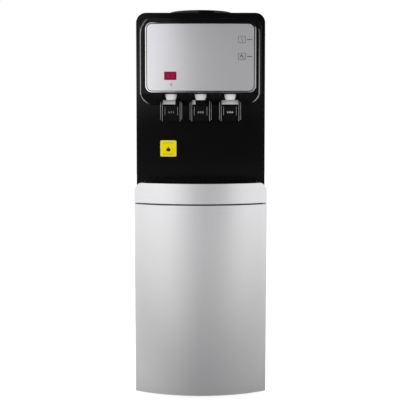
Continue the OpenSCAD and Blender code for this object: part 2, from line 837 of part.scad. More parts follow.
module drip_grille() {
    half = tray_half - tray_t - fit_gap;
    back = tray_back - tray_t - fit_gap;
    inset = band_t + tray_gap + tray_t + fit_gap;
    frame = 9;
    count = floor((half - frame - slot_w) / slot_pitch);
    color([0.05, 0.05, 0.055]) difference() {
        bow_column(half, inset, back, grille_seat + fit_gap, grille_seat + fit_gap + grille_t);
        intersection() {
            for (i = [-count : count]) block([i * slot_pitch - slot_w / 2, front_y, grille_seat - cut],
                [i * slot_pitch + slot_w / 2, back - frame, band_top + cut]);
            bow_column(half - frame, inset + frame, back - frame, grille_seat - cut, band_top + cut);
        }
    }
}

// Tanks, their frame and the water tubes

deck_front = tube_y + tube_r + 4;
deck_back = rear_y - 2 * sheet_t - fit_gap;

module tank_frame() {
    color("lightsteelblue") difference() {
        union() {
            for (z = [deck_z, upper_deck_z])
                block([-inner_half, deck_front, z], [inner_half, deck_back, z + sheet_t]);
            for (s = [-1, 1]) block([s * (inner_half - sheet_t / 2) - sheet_t / 2, deck_front, deck_z],
                [s * (inner_half - sheet_t / 2) + sheet_t / 2, deck_front + 30, upper_deck_z + sheet_t]);
        }
        translate([0, tank_y, upper_deck_z - cut]) cylinder(r = tube_r + 1.5, h = sheet_t + 2 * cut);
        translate([feed_x, feed_y, upper_deck_z - cut]) cylinder(r = tube_r + 1.5, h = sheet_t + 2 * cut);
        for (p = [[line_x, line_y], [suction_x, tank_y]]) translate([p[0], p[1], deck_z - cut])
            cylinder(r = line_r + 2, h = deck_pitch + sheet_t + 2 * cut);
    }
}

module cold_tank() {
    color("silver") difference() {
        union() {
            translate([0, tank_y, cold_z]) cylinder(r = cold_r, h = cold_h);
            bar([0, tank_y, cold_z + cut], [0, tank_y, cold_run_z + tube_bend + 1], spigot_r);
            bar([feed_x, feed_y, cold_z + cut], [feed_x, feed_y, foam_z - 12], spigot_r);
            bar([0, tank_y - cold_r + cut, ambient_z], [0, ambient_spigot_y, ambient_z], spigot_r);
        }
        translate([0, tank_y, cold_z + tank_t]) cylinder(r = cold_r - tank_t, h = cold_h - 2 * tank_t);
        translate([0, tank_y, cold_top - tank_t - cut]) cylinder(r = mouth_r, h = tank_t + 2 * cut);
        bar([0, tank_y, cold_z + 2 * cut], [0, tank_y, cold_run_z], spigot_bore);
        bar([feed_x, feed_y, cold_z + 2 * cut], [feed_x, feed_y, foam_z - 14], spigot_bore);
        bar([0, tank_y - cold_r + 3 * cut, ambient_z], [0, tube_y, ambient_z], spigot_bore);
    }
}

foam_front = tank_y - foam_r;
ambient_spigot_y = tube_y + tube_bend + fit_gap;

module tank_foam() {
    top = cold_top - 2;
    color("khaki") difference() {
        translate([0, tank_y, foam_z]) cylinder(r = foam_r, h = top - foam_z);
        translate([0, tank_y, foam_z + foam_t]) cylinder(r = foam_in, h = top - foam_z);
        bar([0, tank_y, foam_z - cut], [0, tank_y, foam_z + foam_t + cut], spigot_r + fit_gap);
        bar([feed_x, feed_y, foam_z - cut], [feed_x, feed_y, foam_z + foam_t + cut], spigot_r + fit_gap);
        bar([0, tank_y - foam_in + cut, ambient_z], [0, foam_front - cut, ambient_z], spigot_r + fit_gap);
        for (z = [coil_z, coil_end_z])
            bar([foam_in - cut, tank_y, z], [foam_r + cut, tank_y, z], line_r + fit_gap);
    }
}

module evaporator_coil() {
    color("peru") translate([0, tank_y, coil_z]) wound_tube(coil_mid_r, coil_r, coil_pitch, coil_turns, 24);
}

hot_spigot_z = hot_top + 10;

module hot_tank() {
    color("silver") difference() {
        union() {
            translate([hot_x, hot_y, hot_z]) cylinder(r = hot_r, h = hot_h);
            bar([hot_x, hot_y, hot_top - cut], [hot_x, hot_y, hot_run_z - tube_bend - 1], spigot_r);
            bar([hot_x + hot_r - cut, hot_y, feed_low_z], [hot_x + hot_r + jacket_t + 8, hot_y, feed_low_z], spigot_r);
        }
        translate([hot_x, hot_y, hot_z + tank_t]) cylinder(r = hot_r - tank_t, h = hot_h - 2 * tank_t);
        bar([hot_x, hot_y, hot_top - 2 * cut], [hot_x, hot_y, hot_run_z], spigot_bore);
        bar([hot_x + hot_r - 3 * cut, hot_y, feed_low_z], [hot_x + hot_r + jacket_t + 10, hot_y, feed_low_z],
            spigot_bore);
    }
}

feed_low_z = hot_z + 20;

module hot_jacket() {
    color("gainsboro") difference() {
        translate([hot_x, hot_y, hot_z]) cylinder(r = hot_r + jacket_t, h = hot_h - 8);
        translate([hot_x, hot_y, hot_z - cut]) cylinder(r = hot_r + fit_gap, h = hot_h);
        bar([hot_x + hot_r - 2, hot_y, feed_low_z], [hot_x + hot_r + jacket_t + 2, hot_y, feed_low_z],
            spigot_r + fit_gap);
        bar([hot_x, hot_y + hot_r - 2, drain_z], [hot_x, hot_y + hot_r + jacket_t + 2, drain_z], drain_r + fit_gap);
    }
}

module hot_tubes() {
    color("whitesmoke") {
        hose([[hot_x, hot_y, hot_top + 3], [hot_x, hot_y, hot_run_z], [hot_x, tube_y, hot_run_z],
            [hot_x, tube_y, inlet_z], [hot_x, fascia_y + shell_t + fit_gap, inlet_z]]);
        hose([[feed_x, feed_y, foam_z - fit_gap], [feed_x, feed_y, feed_low_z],
            [hot_x + hot_r + jacket_t + 1, feed_y, feed_low_z]]);
    }
}

module cold_tube() {
    color("whitesmoke") hose([[0, tank_y, foam_z - fit_gap], [0, tank_y, cold_run_z], [0, tube_y, cold_run_z],
        [tap_pitch, tube_y, cold_run_z], [tap_pitch, tube_y, inlet_z],
        [tap_pitch, fascia_y + shell_t + fit_gap, inlet_z]]);
}

module ambient_tube() {
    color("whitesmoke") hose([[0, foam_front - fit_gap, ambient_z], [0, tube_y, ambient_z], [0, tube_y, inlet_z],
        [0, fascia_y + shell_t + fit_gap, inlet_z]]);
}

module drain_pipe() {
    color("white") difference() {
        union() {
            bar([hot_x, hot_y + hot_r + fit_gap, drain_z], [hot_x, drain_end, drain_z], drain_r);
            bar([hot_x, rear_y, drain_z], [hot_x, rear_y + 3, drain_z], drain_r + 4);
        }
        bar([hot_x, hot_y + hot_r, drain_z], [hot_x, drain_end + cut, drain_z], drain_r / 2);
    }
}

module drain_cap() {
    color("white") difference() {
        bar([hot_x, rear_y + 3 + fit_gap, drain_z], [hot_x, drain_end + 4, drain_z], drain_r + 3);
        bar([hot_x, rear_y + 2, drain_z], [hot_x, drain_end + fit_gap, drain_z], drain_r + run_gap);
        for (a = [0 : 30 : 330]) translate([hot_x, 0, drain_z]) rotate([0, a, 0])
            bar([drain_r + 3.6, rear_y, 0], [drain_r + 3.6, drain_end + 6, 0], 1.2);
    }
}

// Cooling

discharge_z = comp_z + 75;
suction_z = comp_z + 90;

module compressor() {
    dome = 26;
    color([0.1, 0.1, 0.11]) {
        translate([comp_x, comp_y, comp_z]) rotate_extrude() intersection() {
            union() {
                square([comp_r, comp_h - dome]);
                translate([0, comp_h - dome]) square([comp_r - dome, dome]);
                translate([comp_r - dome, comp_h - dome]) circle(dome);
            }
            square([comp_r, comp_h]);
        }
        block([comp_x - comp_r - 8, comp_y - comp_r + 6, comp_z - 3], [comp_x + comp_r + 8, comp_y + comp_r - 6, comp_z]);
    }
}

module compressor_mounts() {
    color("black") for (x = [-comp_r, comp_r], y = [-comp_r + 16, comp_r - 16])
        translate([comp_x + x, comp_y + y, foot_h + sheet_t]) {
            cylinder(r = 8, h = comp_mount_h);
            translate([0, 0, comp_mount_h / 2 - 3]) cylinder(r = 10, h = 6);
        }
}

cond_turn = cond_half + cond_pitch / 2;
cond_route = concat([[-cond_half, cond_y, cond_z]],
    [for (i = [0 : cond_runs - 2], k = [0, 1])
        [i % 2 == 0 ? cond_turn : -cond_turn, cond_y, cond_z + (i + k) * cond_pitch]],
    [[cond_half, cond_y, cond_top]]);

module condenser() {
    wire_step = (cond_w - 30) / (cond_wires - 1);
    color([0.1, 0.1, 0.11]) {
        pipe(cond_route, cond_r, cond_pitch / 2 - 1);
        for (i = [0 : cond_wires - 1])
            translate([-cond_half + 15 + i * wire_step, cond_y + cond_r, (cond_z + cond_top) / 2])
                cube([2 * cond_wire_r, 2 * cond_wire_r, cond_top - cond_z + 16], center = true);
        for (x = [-cond_half + 28, cond_half - 28], z = [cond_z + cond_pitch, cond_top - cond_pitch])
            block([x - 5, rear_y, z - 6], [x + 5, cond_y, z + 6]);
    }
}

drier_z = deck_z + 42;
drier_len = 70;
line_end = coil_mid_r + coil_r + fit_gap;

module refrigerant_line() {
    color("peru") {
        pipe([[comp_x - comp_r - fit_gap, comp_y, discharge_z], [-line_x, comp_y, discharge_z],
            [-line_x, cond_y, discharge_z], [-line_x, cond_y, cond_z], [-cond_half - fit_gap, cond_y, cond_z]],
            line_r, line_bend);
        pipe([[cond_half + fit_gap, cond_y, cond_top], [line_x, cond_y, cond_top], [line_x, line_y, cond_top],
            [line_x, line_y, coil_z], [line_x, tank_y, coil_z], [line_end, tank_y, coil_z]], line_r, line_bend);
        bar([line_x, line_y, drier_z], [line_x, line_y, drier_z + drier_len], drier_r);
        pipe([[line_end, tank_y, coil_end_z], [suction_x, tank_y, coil_end_z], [suction_x, tank_y, suction_z],
            [suction_x, comp_y, suction_z], [comp_x + comp_r + fit_gap, comp_y, suction_z]], line_r, line_bend);
    }
}

// Power and switches

inlet_w = 26;
inlet_h = 18;
inlet_d = 16;
plug_z = service_z - 16;
rocker_t = 8;
rocker_pin_r = 1.5;
rocker_pin = 2;
rocker_room = 1.2;

module service_plate() {
    in_half = service_w / 2 - 3 - fit_gap;
    in_high = service_h / 2 - 3 - fit_gap;
    color([0.1, 0.1, 0.1]) {
        difference() {
            union() {
                across_y(rear_y, rear_y + 2.5) translate([service_x, service_z - service_h / 2])
                    rounded_rect(service_w, service_h, 4);
                block([service_x - in_half, rear_y - service_d, service_z - in_high],
                    [service_x + in_half, rear_y, service_z + in_high]);
            }
            block([service_x - inlet_w / 2, rear_y - inlet_d, plug_z - inlet_h / 2],
                [service_x + inlet_w / 2, rear_y + 2.5 + cut, plug_z + inlet_h / 2]);
            for (s = [-1, 1]) {
                x = service_x + s * rocker_dx;
                block([x - rocker_w / 2 - fit_gap, rear_y - rocker_t, rocker_z - rocker_h / 2 - rocker_room],
                    [x + rocker_w / 2 + fit_gap, rear_y + 2.5 + cut, rocker_z + rocker_h / 2 + rocker_room]);
                bar([x - rocker_w / 2 - rocker_pin - fit_gap, rear_y, rocker_z],
                    [x + rocker_w / 2 + rocker_pin + fit_gap, rear_y, rocker_z], rocker_pin_r + run_gap);
            }
        }
        for (x = [-7, 0, 7]) block([service_x + x - 1, rear_y - inlet_d, plug_z - 1 + (x == 0 ? 3 : 0)],
            [service_x + x + 1, rear_y - inlet_d + 11, plug_z + 4 + (x == 0 ? 3 : 0)]);
    }
}

module rocker(x, tint) {
    color(tint) {
        across_x(x - rocker_w / 2, x + rocker_w / 2) polygon([
            [rear_y - rocker_t / 2, rocker_z - rocker_h / 2], [rear_y + rocker_t / 2, rocker_z - rocker_h / 2],
            [rear_y + rocker_t / 2 - 1.6, rocker_z], [rear_y + rocker_t / 2, rocker_z + rocker_h / 2],
            [rear_y - rocker_t / 2, rocker_z + rocker_h / 2]]);
        bar([x - rocker_w / 2 - rocker_pin, rear_y, rocker_z], [x + rocker_w / 2 + rocker_pin, rear_y, rocker_z],
            rocker_pin_r);
    }
}

module hot_switch() rocker(service_x - rocker_dx, [0.7, 0.1, 0.08]);
module cold_switch() rocker(service_x + rocker_dx, [0.1, 0.5, 0.2]);

power_board_w = 95;
power_board_h = 88;

module control_board() {
    x0 = service_x - 100;
    x1 = x0 + power_board_w;
    z0 = deck_z + 22;
    z1 = z0 + power_board_h;
    back = rear_y - sheet_t;
    face = back - 5 - board_t;
    color("darkgreen") {
        block([x0, face, z0], [x1, face + board_t, z1]);
        for (x = [x0 + 6, x1 - 6], z = [z0 + 6, z1 - 6]) bar([x, face + board_t, z], [x, back, z], 3);
        block([x0 + 14, face - 16, z0 + 12], [x0 + 34, face, z0 + 40]);
        block([x0 + 44, face - 16, z0 + 12], [x0 + 64, face, z0 + 40]);
        block([x0 + 20, face - 26, z0 + 52], [x0 + 54, face, z0 + 78]);
        bar([x0 + 74, face, z0 + 60], [x0 + 74, face - 22, z0 + 60], 8);
    }
}

// Taps

guide_t = 3;
socket_r = nozzle_bore_r + 2.6;
socket_d = 4;
low_chamber_r = stem_r + 2.1;
way_r = 1.8;
way_z = tap_z + 5.5;

module tap_body(x) {
    color([0.06, 0.06, 0.065]) difference() {
        union() {
            block([x - tap_w / 2, tap_front, tap_z], [x + tap_w / 2, fascia_y, tap_top]);
            for (s = [-1, 1]) {
                a = x + s * ear_half;
                b = a - s * ear_t;
                block([min(a, b), pivot_y - ear_r, pivot_z], [max(a, b), pivot_y + ear_r, tap_z]);
                bar([a, pivot_y, pivot_z], [b, pivot_y, pivot_z], ear_r);
            }
            bar([x, fascia_y - cut, inlet_z], [x, spigot_end, inlet_z], spigot_r);
        }
        translate([x, nozzle_y, tap_z - cut]) cylinder(r = socket_r + run_gap, h = socket_d + cut);
        translate([x, nozzle_y, tap_z]) cylinder(r = nozzle_bore_r, h = way_z + way_r - tap_z + 1);
        bar([x, nozzle_y, way_z], [x, stem_y, way_z], way_r);
        translate([x, stem_y, tap_z - cut]) cylinder(r = stem_r + run_gap, h = guide_t + 2 * cut);
        translate([x, stem_y, tap_z + guide_t]) cylinder(r = low_chamber_r, h = seat_z - tap_z - guide_t + cut);
        translate([x, stem_y, seat_z]) cylinder(r = chamber_r, h = roof_z - seat_z);
        bar([x, stem_y, inlet_z], [x, spigot_end + cut, inlet_z], spigot_bore);
        bar([x - ear_half - cut, pivot_y, pivot_z], [x + ear_half + cut, pivot_y, pivot_z], pivot_r + run_gap);
    }
}

module hot_tap_body() tap_body(tap_xs[0]);
module ambient_tap_body() tap_body(tap_xs[1]);
module cold_tap_body() tap_body(tap_xs[2]);

module nozzle(x) {
    end = tap_z - nozzle_len;
    color([0.85, 0.85, 0.86]) translate([x, nozzle_y, 0]) rotate_extrude() polygon([
        [nozzle_bore_r, end], [nozzle_end_r - 1, end], [nozzle_end_r, end + 1], [nozzle_r, tap_z - 5],
        [nozzle_r, tap_z], [socket_r, tap_z], [socket_r, tap_z + socket_d - run_gap],
        [nozzle_bore_r, tap_z + socket_d - run_gap]]);
}

module hot_nozzle() nozzle(tap_xs[0]);
module ambient_nozzle() nozzle(tap_xs[1]);
module cold_nozzle() nozzle(tap_xs[2]);

module pivot_pins() {
    color("silver") for (x = tap_xs) bar([x - ear_half, pivot_y, pivot_z], [x + ear_half, pivot_y, pivot_z], pivot_r);
}

paddle_front = pivot_y - paddle_t;
paddle_low = paddle_top - paddle_h;
arm_half = 6;
arm_t = 4;

module paddle(x) {
    shoulder_d = rim_d - 1;
    color([0.04, 0.04, 0.045]) difference() {
        union() {
            bar([x - hub_half, pivot_y, pivot_z], [x + hub_half, pivot_y, pivot_z], hub_r);
            block([x - hub_half, paddle_front, paddle_top - 2], [x + hub_half, pivot_y, pivot_z]);
            across_y(paddle_front, pivot_y) translate([x, paddle_low]) rounded_rect(paddle_w, paddle_h, paddle_r);
            across_y(paddle_front - rim_d, pivot_y) intersection() {
                translate([x, paddle_low]) rounded_rect(paddle_w, paddle_h, paddle_r);
                for (s = [-1, 1]) translate([x + s * (paddle_w - rim_w) / 2 - rim_w / 2, paddle_low])
                    square([rim_w, paddle_h]);
            }
            for (s = [[paddle_w / 2 - rim_w / 2, paddle_top], [tap_slot_half - 1, shoulder_top]])
                across_x(x - s[0], x + s[0]) polygon([[pivot_y - 1, s[1]], [paddle_front, s[1]],
                    [paddle_front - shoulder_d, s[1] - shoulder_h], [pivot_y - 1, s[1] - shoulder_h]]);
            across_y(paddle_front - 2, pivot_y - 1) translate([x, shoulder_top - shoulder_h - 3 - plate_h])
                rounded_rect(plate_w, plate_h, 2);
            block([x - arm_half, pivot_y, pivot_z - arm_t / 2], [x + arm_half, stem_y, pivot_z + arm_t / 2]);
            bar([x - arm_half, stem_y, pivot_z], [x + arm_half, stem_y, pivot_z], arm_r);
        }
        bar([x - hub_half - cut, pivot_y, pivot_z], [x + hub_half + cut, pivot_y, pivot_z], pivot_r + run_gap);
    }
}

module hot_paddle() paddle(tap_xs[0]);
module ambient_paddle() paddle(tap_xs[1]);
module cold_paddle() paddle(tap_xs[2]);

module stem(x) {
    color("whitesmoke") translate([x, stem_y, 0]) {
        translate([0, 0, stem_foot]) cylinder(r = stem_r, h = seat_z + 9 - stem_foot);
        translate([0, 0, stem_foot]) cylinder(r = stem_r + 1.5, h = 2);
        translate([0, 0, seat_z + fit_gap]) cylinder(r = disc_r, h = disc_t);
    }
}

module hot_stem() stem(tap_xs[0]);
module ambient_stem() stem(tap_xs[1]);
module cold_stem() stem(tap_xs[2]);

module valve_spring(x) {
    low = spring_z + wire_r;
    high = roof_z - fit_gap - wire_r;
    color("silver") translate([x, stem_y, low])
        wound_tube((stem_r + chamber_r) / 2, wire_r, (high - low) / spring_turns, spring_turns, 8);
}

module hot_spring() valve_spring(tap_xs[0]);
module ambient_spring() valve_spring(tap_xs[1]);
module cold_spring() valve_spring(tap_xs[2]);

// Bottle seat

funnel_z = head_z - 18;
rim_z = head_z + collar_h;
lip_t = 4;
ledge = 4;
guard_r = neck_r + shell_t;
step_r = guard_r + 4;
step_z = funnel_z + fit_gap;
dish_z = head_z + fit_gap + shell_t;

// Height of the funnel's upper side at radius r
function funnel(r) = funnel_z + (r - neck_r) * (dish_z - funnel_z) / (seat_r - 1 - neck_r);

module bottle_collar() {
    color([0.05, 0.05, 0.055]) translate([0, tank_y, 0]) rotate_extrude() {
        polygon([[guard_r + fit_gap, step_z - shell_t], [step_r + 1, step_z - shell_t],
            [seat_r - 1, head_z - shell_t - 1], [seat_r - 1, head_z + fit_gap], [collar_r, head_z + fit_gap],
            [collar_r, rim_z - lip_t / 2], [collar_r - lip_t, rim_z - lip_t / 2],
            [collar_r - lip_t, dish_z + 1], [seat_r - 1, dish_z],
            [step_r + fit_gap, funnel(step_r + fit_gap)], [step_r + fit_gap, step_z], [guard_r + fit_gap, step_z]]);
        translate([collar_r - lip_t / 2, rim_z - lip_t / 2]) circle(lip_t / 2);
    }
}

// The well that takes the bottle's neck: it hangs by its flange on the collar's step
module neck_guard() {
    color([0.05, 0.05, 0.055]) translate([0, tank_y, 0]) rotate_extrude() polygon([
        [neck_r - ledge, well_low], [guard_r, well_low], [guard_r, step_z + fit_gap], [step_r, step_z + fit_gap],
        [step_r, funnel(step_r)], [neck_r, funnel_z], [neck_r, well_low + 2], [neck_r - ledge, well_low + 2]]);
}

module feed_probe() {
    base = well_low + 2 + fit_gap;
    color("whitesmoke") translate([0, tank_y, base]) difference() {
        union() {
            cylinder(r = probe_r, h = probe_len - 8);
            translate([0, 0, probe_len - 8]) cylinder(r1 = probe_r, r2 = probe_r / 3, h = 8);
            difference() {
                cylinder(r = neck_r - fit_gap, h = 3);
                translate([0, 0, -cut]) cylinder(r = neck_r - ledge - 1, h = 3 + 2 * cut);
            }
            for (a = [0, 120, 240]) rotate([0, 0, a]) block([probe_r - 2, -2, 0], [neck_r - 2, 2, 3]);
        }
        translate([0, 0, -cut]) cylinder(r = probe_r - 2.5, h = probe_len - 8);
        for (a = [0, 90]) rotate([0, 0, a]) bar([-probe_r - cut, 0, probe_len - 14], [probe_r + cut, 0, probe_len - 14], 3);
    }
}

base_pan();
rubber_feet();
left_side_panel();
right_side_panel();
rear_panel();
top_cover();
front_fascia();
hood_shell();
control_panel();
panel_trim();
display_window();
display_board();
plain_label();
waist_band();
cabinet_liner();
door_hinges();
tank_frame();
cold_tank();
tank_foam();
evaporator_coil();
hot_tank();
hot_jacket();
compressor();
compressor_mounts();
condenser();
refrigerant_line();
hot_tubes();
cold_tube();
ambient_tube();
drain_pipe();
service_plate();
control_board();
rear_screws();
hot_tap_body();
ambient_tap_body();
cold_tap_body();
hot_nozzle();
ambient_nozzle();
cold_nozzle();
pivot_pins();
hot_paddle();
ambient_paddle();
cold_paddle();
hot_stem();
ambient_stem();
cold_stem();
hot_spring();
ambient_spring();
cold_spring();
door_skin();
door_liner();
door_gasket();
drip_tray();
drip_grille();
bottle_collar();
neck_guard();
feed_probe();
hot_switch();
cold_switch();
drain_cap();
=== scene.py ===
import json
import math

import bmesh
import bpy
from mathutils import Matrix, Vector
from mathutils.bvhtree import BVHTree


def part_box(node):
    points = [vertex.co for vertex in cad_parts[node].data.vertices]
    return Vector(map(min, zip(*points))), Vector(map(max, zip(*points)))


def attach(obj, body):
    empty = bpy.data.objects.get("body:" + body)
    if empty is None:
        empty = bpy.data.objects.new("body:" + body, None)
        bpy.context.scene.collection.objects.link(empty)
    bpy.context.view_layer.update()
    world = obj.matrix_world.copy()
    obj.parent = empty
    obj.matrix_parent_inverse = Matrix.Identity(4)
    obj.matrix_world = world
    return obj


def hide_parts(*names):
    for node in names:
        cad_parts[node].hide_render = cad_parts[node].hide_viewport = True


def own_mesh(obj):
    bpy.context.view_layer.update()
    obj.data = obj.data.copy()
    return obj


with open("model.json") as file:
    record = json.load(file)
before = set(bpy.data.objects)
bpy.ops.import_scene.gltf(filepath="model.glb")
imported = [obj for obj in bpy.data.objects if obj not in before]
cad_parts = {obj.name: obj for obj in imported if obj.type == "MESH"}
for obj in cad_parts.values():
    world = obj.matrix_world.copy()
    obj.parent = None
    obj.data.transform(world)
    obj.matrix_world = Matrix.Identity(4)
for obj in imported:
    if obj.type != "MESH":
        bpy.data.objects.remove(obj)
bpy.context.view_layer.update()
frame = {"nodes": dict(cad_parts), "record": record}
scene = bpy.context.scene


# Studio: a white room with a pale floor and a soft lamp on either side. Grey cards that the camera doesn't
# see stand round the machine: flags and wings before it, a roof above it and a mat on the floor. They show
# only in reflections, above all in the silver paint and the black gloss.
class Shade:
    """A socket of a material. Sums of sockets and numbers add Math nodes."""

    def __init__(self, finish, socket):
        self.finish, self.socket = finish, socket

    def maths(self, operation, first, second=0.0):
        return self.finish.node("ShaderNodeMath", {"operation": operation}, {0: first, 1: second})

    def __add__(self, other):
        return self.maths("ADD", self, other)

    def __radd__(self, other):
        return self.maths("ADD", other, self)

    def __sub__(self, other):
        return self.maths("SUBTRACT", self, other)

    def __rsub__(self, other):
        return self.maths("SUBTRACT", other, self)

    def __mul__(self, other):
        return self.maths("MULTIPLY", self, other)

    def __rmul__(self, other):
        return self.maths("MULTIPLY", other, self)

    def __abs__(self):
        return self.maths("ABSOLUTE", self)

    def __lt__(self, other):
        return self.maths("LESS_THAN", self, other)

    def __gt__(self, other):
        return self.maths("GREATER_THAN", self, other)

    def largest(self, other):
        return self.maths("MAXIMUM", self, other)

    def least(self, other):
        return self.maths("MINIMUM", self, other)

    def held(self, top=1.0):
        return self.largest(0.0).least(top)

    def root(self):
        return self.maths("SQRT", self)

    def other(self, output):
        return Shade(self.finish, self.socket.node.outputs[output])


class Finish:
    """A material, or the world, built from nodes."""

    def __init__(self, name, tree=None):
        self.material = None if tree else bpy.data.materials.new(name)
        if self.material:
            self.material.use_nodes = True
        self.tree = tree or self.material.node_tree
        self.tree.nodes.clear()
        self.end = self.tree.nodes.new("ShaderNodeOutputWorld" if tree else "ShaderNodeOutputMaterial")
        self.spot = None

    def node(self, kind, settings=None, values=None, output=0):
        made = self.tree.nodes.new(kind)
        for key, value in (settings or {}).items():
            if key == "stops":
                ramp = made.color_ramp
                while len(ramp.elements) < len(value):
                    ramp.elements.new(0.5)
                for element, (place, level) in zip(ramp.elements, value):
                    element.position, element.color = place, (level, level, level, 1)
            else:
                setattr(made, key, value)
        for key, value in (values or {}).items():
            if isinstance(value, Shade):
                self.tree.links.new(value.socket, made.inputs[key])
            else:
                made.inputs[key].default_value = value
        return Shade(self, made.outputs[output])

    def place(self):
        self.spot = self.spot or self.node("ShaderNodeTexCoord", None, None, "Object")
        return self.spot

    def along(self, axis):
        return self.node("ShaderNodeSeparateXYZ", None, {0: self.place()}, axis)

    def facing(self, axis):
        return self.node("ShaderNodeSeparateXYZ", None, {0: self.place().other("Normal")}, axis)

    def noise(self, scale, detail=2.0, stretch=None):
        spot = self.place()
        if stretch:
            spot = self.node("ShaderNodeMapping", None, {"Vector": spot, "Scale": stretch})
        values = {"Vector": spot, "Scale": scale, "Detail": detail}
        return self.node("ShaderNodeTexNoise", None, values, "Fac")

    def cells(self, scale, output, settings=None):
        values = {"Vector": self.place(), "Scale": scale}
        return self.node("ShaderNodeTexVoronoi", settings, values, output)

    def flakes(self, scale):
        """A random level for each cell of a fine mosaic."""
        return self.node("ShaderNodeSeparateColor", None, {0: self.cells(scale, "Color")}, "Red")

    def mixed(self, share, first, second, blend="MIX"):
        settings = {"data_type": "RGBA", "blend_type": blend}
        return self.node("ShaderNodeMix", settings, {0: share, 6: first, 7: second}, 2)

    def bump(self, height, strength, distance):
        values = {"Height": height, "Strength": strength, "Distance": distance}
        return self.node("ShaderNodeBump", None, values)

    def surface(self, shader):
        self.tree.links.new(shader.socket, self.end.inputs["Surface"])
        return self.material

    def paint(self, values):
        return self.surface(self.node("ShaderNodeBsdfPrincipled", None, values))

    def seen_rays(self):
        path = self.node("ShaderNodeLightPath", None, None, "Is Camera Ray")
        return (path + path.other("Is Glossy Ray") + path.other("Is Transmission Ray")).least(1.0)


def flat_card(name, corners, finish):
    mesh = bpy.data.meshes.new(name)
    mesh.from_pydata(corners, [], [tuple(range(len(corners)))])
    mesh.materials.append(finish)
    card = bpy.data.objects.new(name, mesh)
    scene.collection.objects.link(card)
    return card


ROOM_LIGHT = 0.42
FLOOR_GLOW, FLOOR_LIFT = 0.78, 0.14
FLOOR_HALF, FLOOR_BACK = 6.0, 9.0
scene.view_settings.view_transform = "Standard"
scene.world = bpy.data.worlds.new("white_room")
scene.world.use_nodes = True
room = Finish("white_room", scene.world.node_tree)
dim = room.node("ShaderNodeBackground", None, {"Color": (1, 1, 1, 1), "Strength": ROOM_LIGHT})
white = room.node("ShaderNodeBackground", None, {"Color": (1, 1, 1, 1), "Strength": 1.0})
room.surface(room.node("ShaderNodeMixShader", None, {0: room.seen_rays(), 1: dim, 2: white}))

paper = Finish("pale_floor")
paper_tone = paper.mixed(paper.noise(35.0, 3.0), (0.58, 0.575, 0.57, 1), (0.62, 0.615, 0.61, 1))
matt = paper.node("ShaderNodeBsdfDiffuse", None, {"Color": paper_tone})
direct = paper.node("ShaderNodeLightPath", None, None, "Is Camera Ray")
paper_light = paper.seen_rays() * FLOOR_GLOW + direct * FLOOR_LIFT
glow = paper.node("ShaderNodeEmission", None, {"Strength": paper_light})
paper.surface(paper.node("ShaderNodeAddShader", None, {0: matt, 1: glow}))
flat_card("floor", [(-FLOOR_HALF, -FLOOR_HALF, 0), (FLOOR_HALF, -FLOOR_HALF, 0), (FLOOR_HALF, FLOOR_BACK, 0),
    (-FLOOR_HALF, FLOOR_BACK, 0)], paper.material)


def grey_card(name, corners, first, second, tint=(1.0, 1.0, 1.0)):
    """A card whose grey is the product of two ramps, each given as axis, low end, high end and stops."""
    finish = Finish(name)
    colour = tuple(tint) + (1,)
    for axis, low, high, stops in (first, second):
        share = (finish.along(axis) - low) * (1.0 / (high - low))
        level = finish.node("ShaderNodeValToRGB", {"stops": stops}, {0: share})
        colour = finish.mixed(1.0, colour, level, "MULTIPLY")
    finish.surface(finish.node("ShaderNodeEmission", None, {"Color": colour, "Strength": 1.0}))
    card = flat_card(name, corners, finish.material)
    card.visible_camera = card.visible_diffuse = card.visible_shadow = card.visible_transmission = False


FLAG_Y, FLAG_LOW, FLAG_SPLIT, FLAG_TOP = -1.9, 0.01, 0.74, 2.4
FLAG_LEFT, FLAG_RIGHT = -0.44, 1.05


def standing_card(name, left, right, low, high, across, upwards):
    corners = [(left, FLAG_Y, low), (right, FLAG_Y, low), (right, FLAG_Y, high), (left, FLAG_Y, high)]
    grey_card(name, corners, ("X", left, right, across), ("Z", low, high, upwards))


def lying_card(name, half, front, back, level, across, inwards, tint=(1.0, 1.0, 1.0)):
    corners = [(-half, front, level), (half, front, level), (half, back, level), (-half, back, level)]
    grey_card(name, corners, ("X", -half, half, across), ("Y", front, back, inwards), tint)


wing_rise = [(0.0, 1.0), (0.75, 0.95), (1.0, 1.1)]
standing_card("low_flag", FLAG_LEFT, FLAG_RIGHT, FLAG_LOW, FLAG_SPLIT,
    [(0.0, 0.58), (0.23, 0.53), (0.70, 0.53), (1.0, 0.62)],
    [(0.0, 1.0), (0.42, 1.0), (0.56, 0.08), (0.88, 0.08), (1.0, 0.6)])
standing_card("low_left_wing", -1.4, FLAG_LEFT, FLAG_LOW, 0.56,
    [(0.0, 1.0), (0.52, 0.78), (1.0, 0.58)], wing_rise)
standing_card("low_right_wing", FLAG_RIGHT, 1.7, FLAG_LOW, 0.52,
    [(0.0, 0.62), (0.52, 0.85), (1.0, 1.0)], wing_rise)
standing_card("high_left_wing", -1.5, -0.45, 0.62, 1.05, [(0.0, 1.0), (1.0, 1.0)],
    [(0.0, 1.5), (0.4, 1.35), (0.67, 1.12), (0.95, 1.0)])
standing_card("high_flag", -0.30, 2.40, FLAG_SPLIT, FLAG_TOP,
    [(0.0, 1.0), (0.08, 0.26), (0.20, 0.16), (0.45, 0.20), (0.8, 0.35), (1.0, 1.0)],
    [(0.0, 1.9), (0.10, 0.85), (0.20, 0.06), (1.0, 0.0)])
lying_card("roof_card", 0.75, FLAG_Y, 4.5, 2.35, [(0.0, 1.0), (0.25, 0.05), (0.75, 0.05), (1.0, 1.0)],
    [(0.0, 0.5), (1.0, 0.5)])
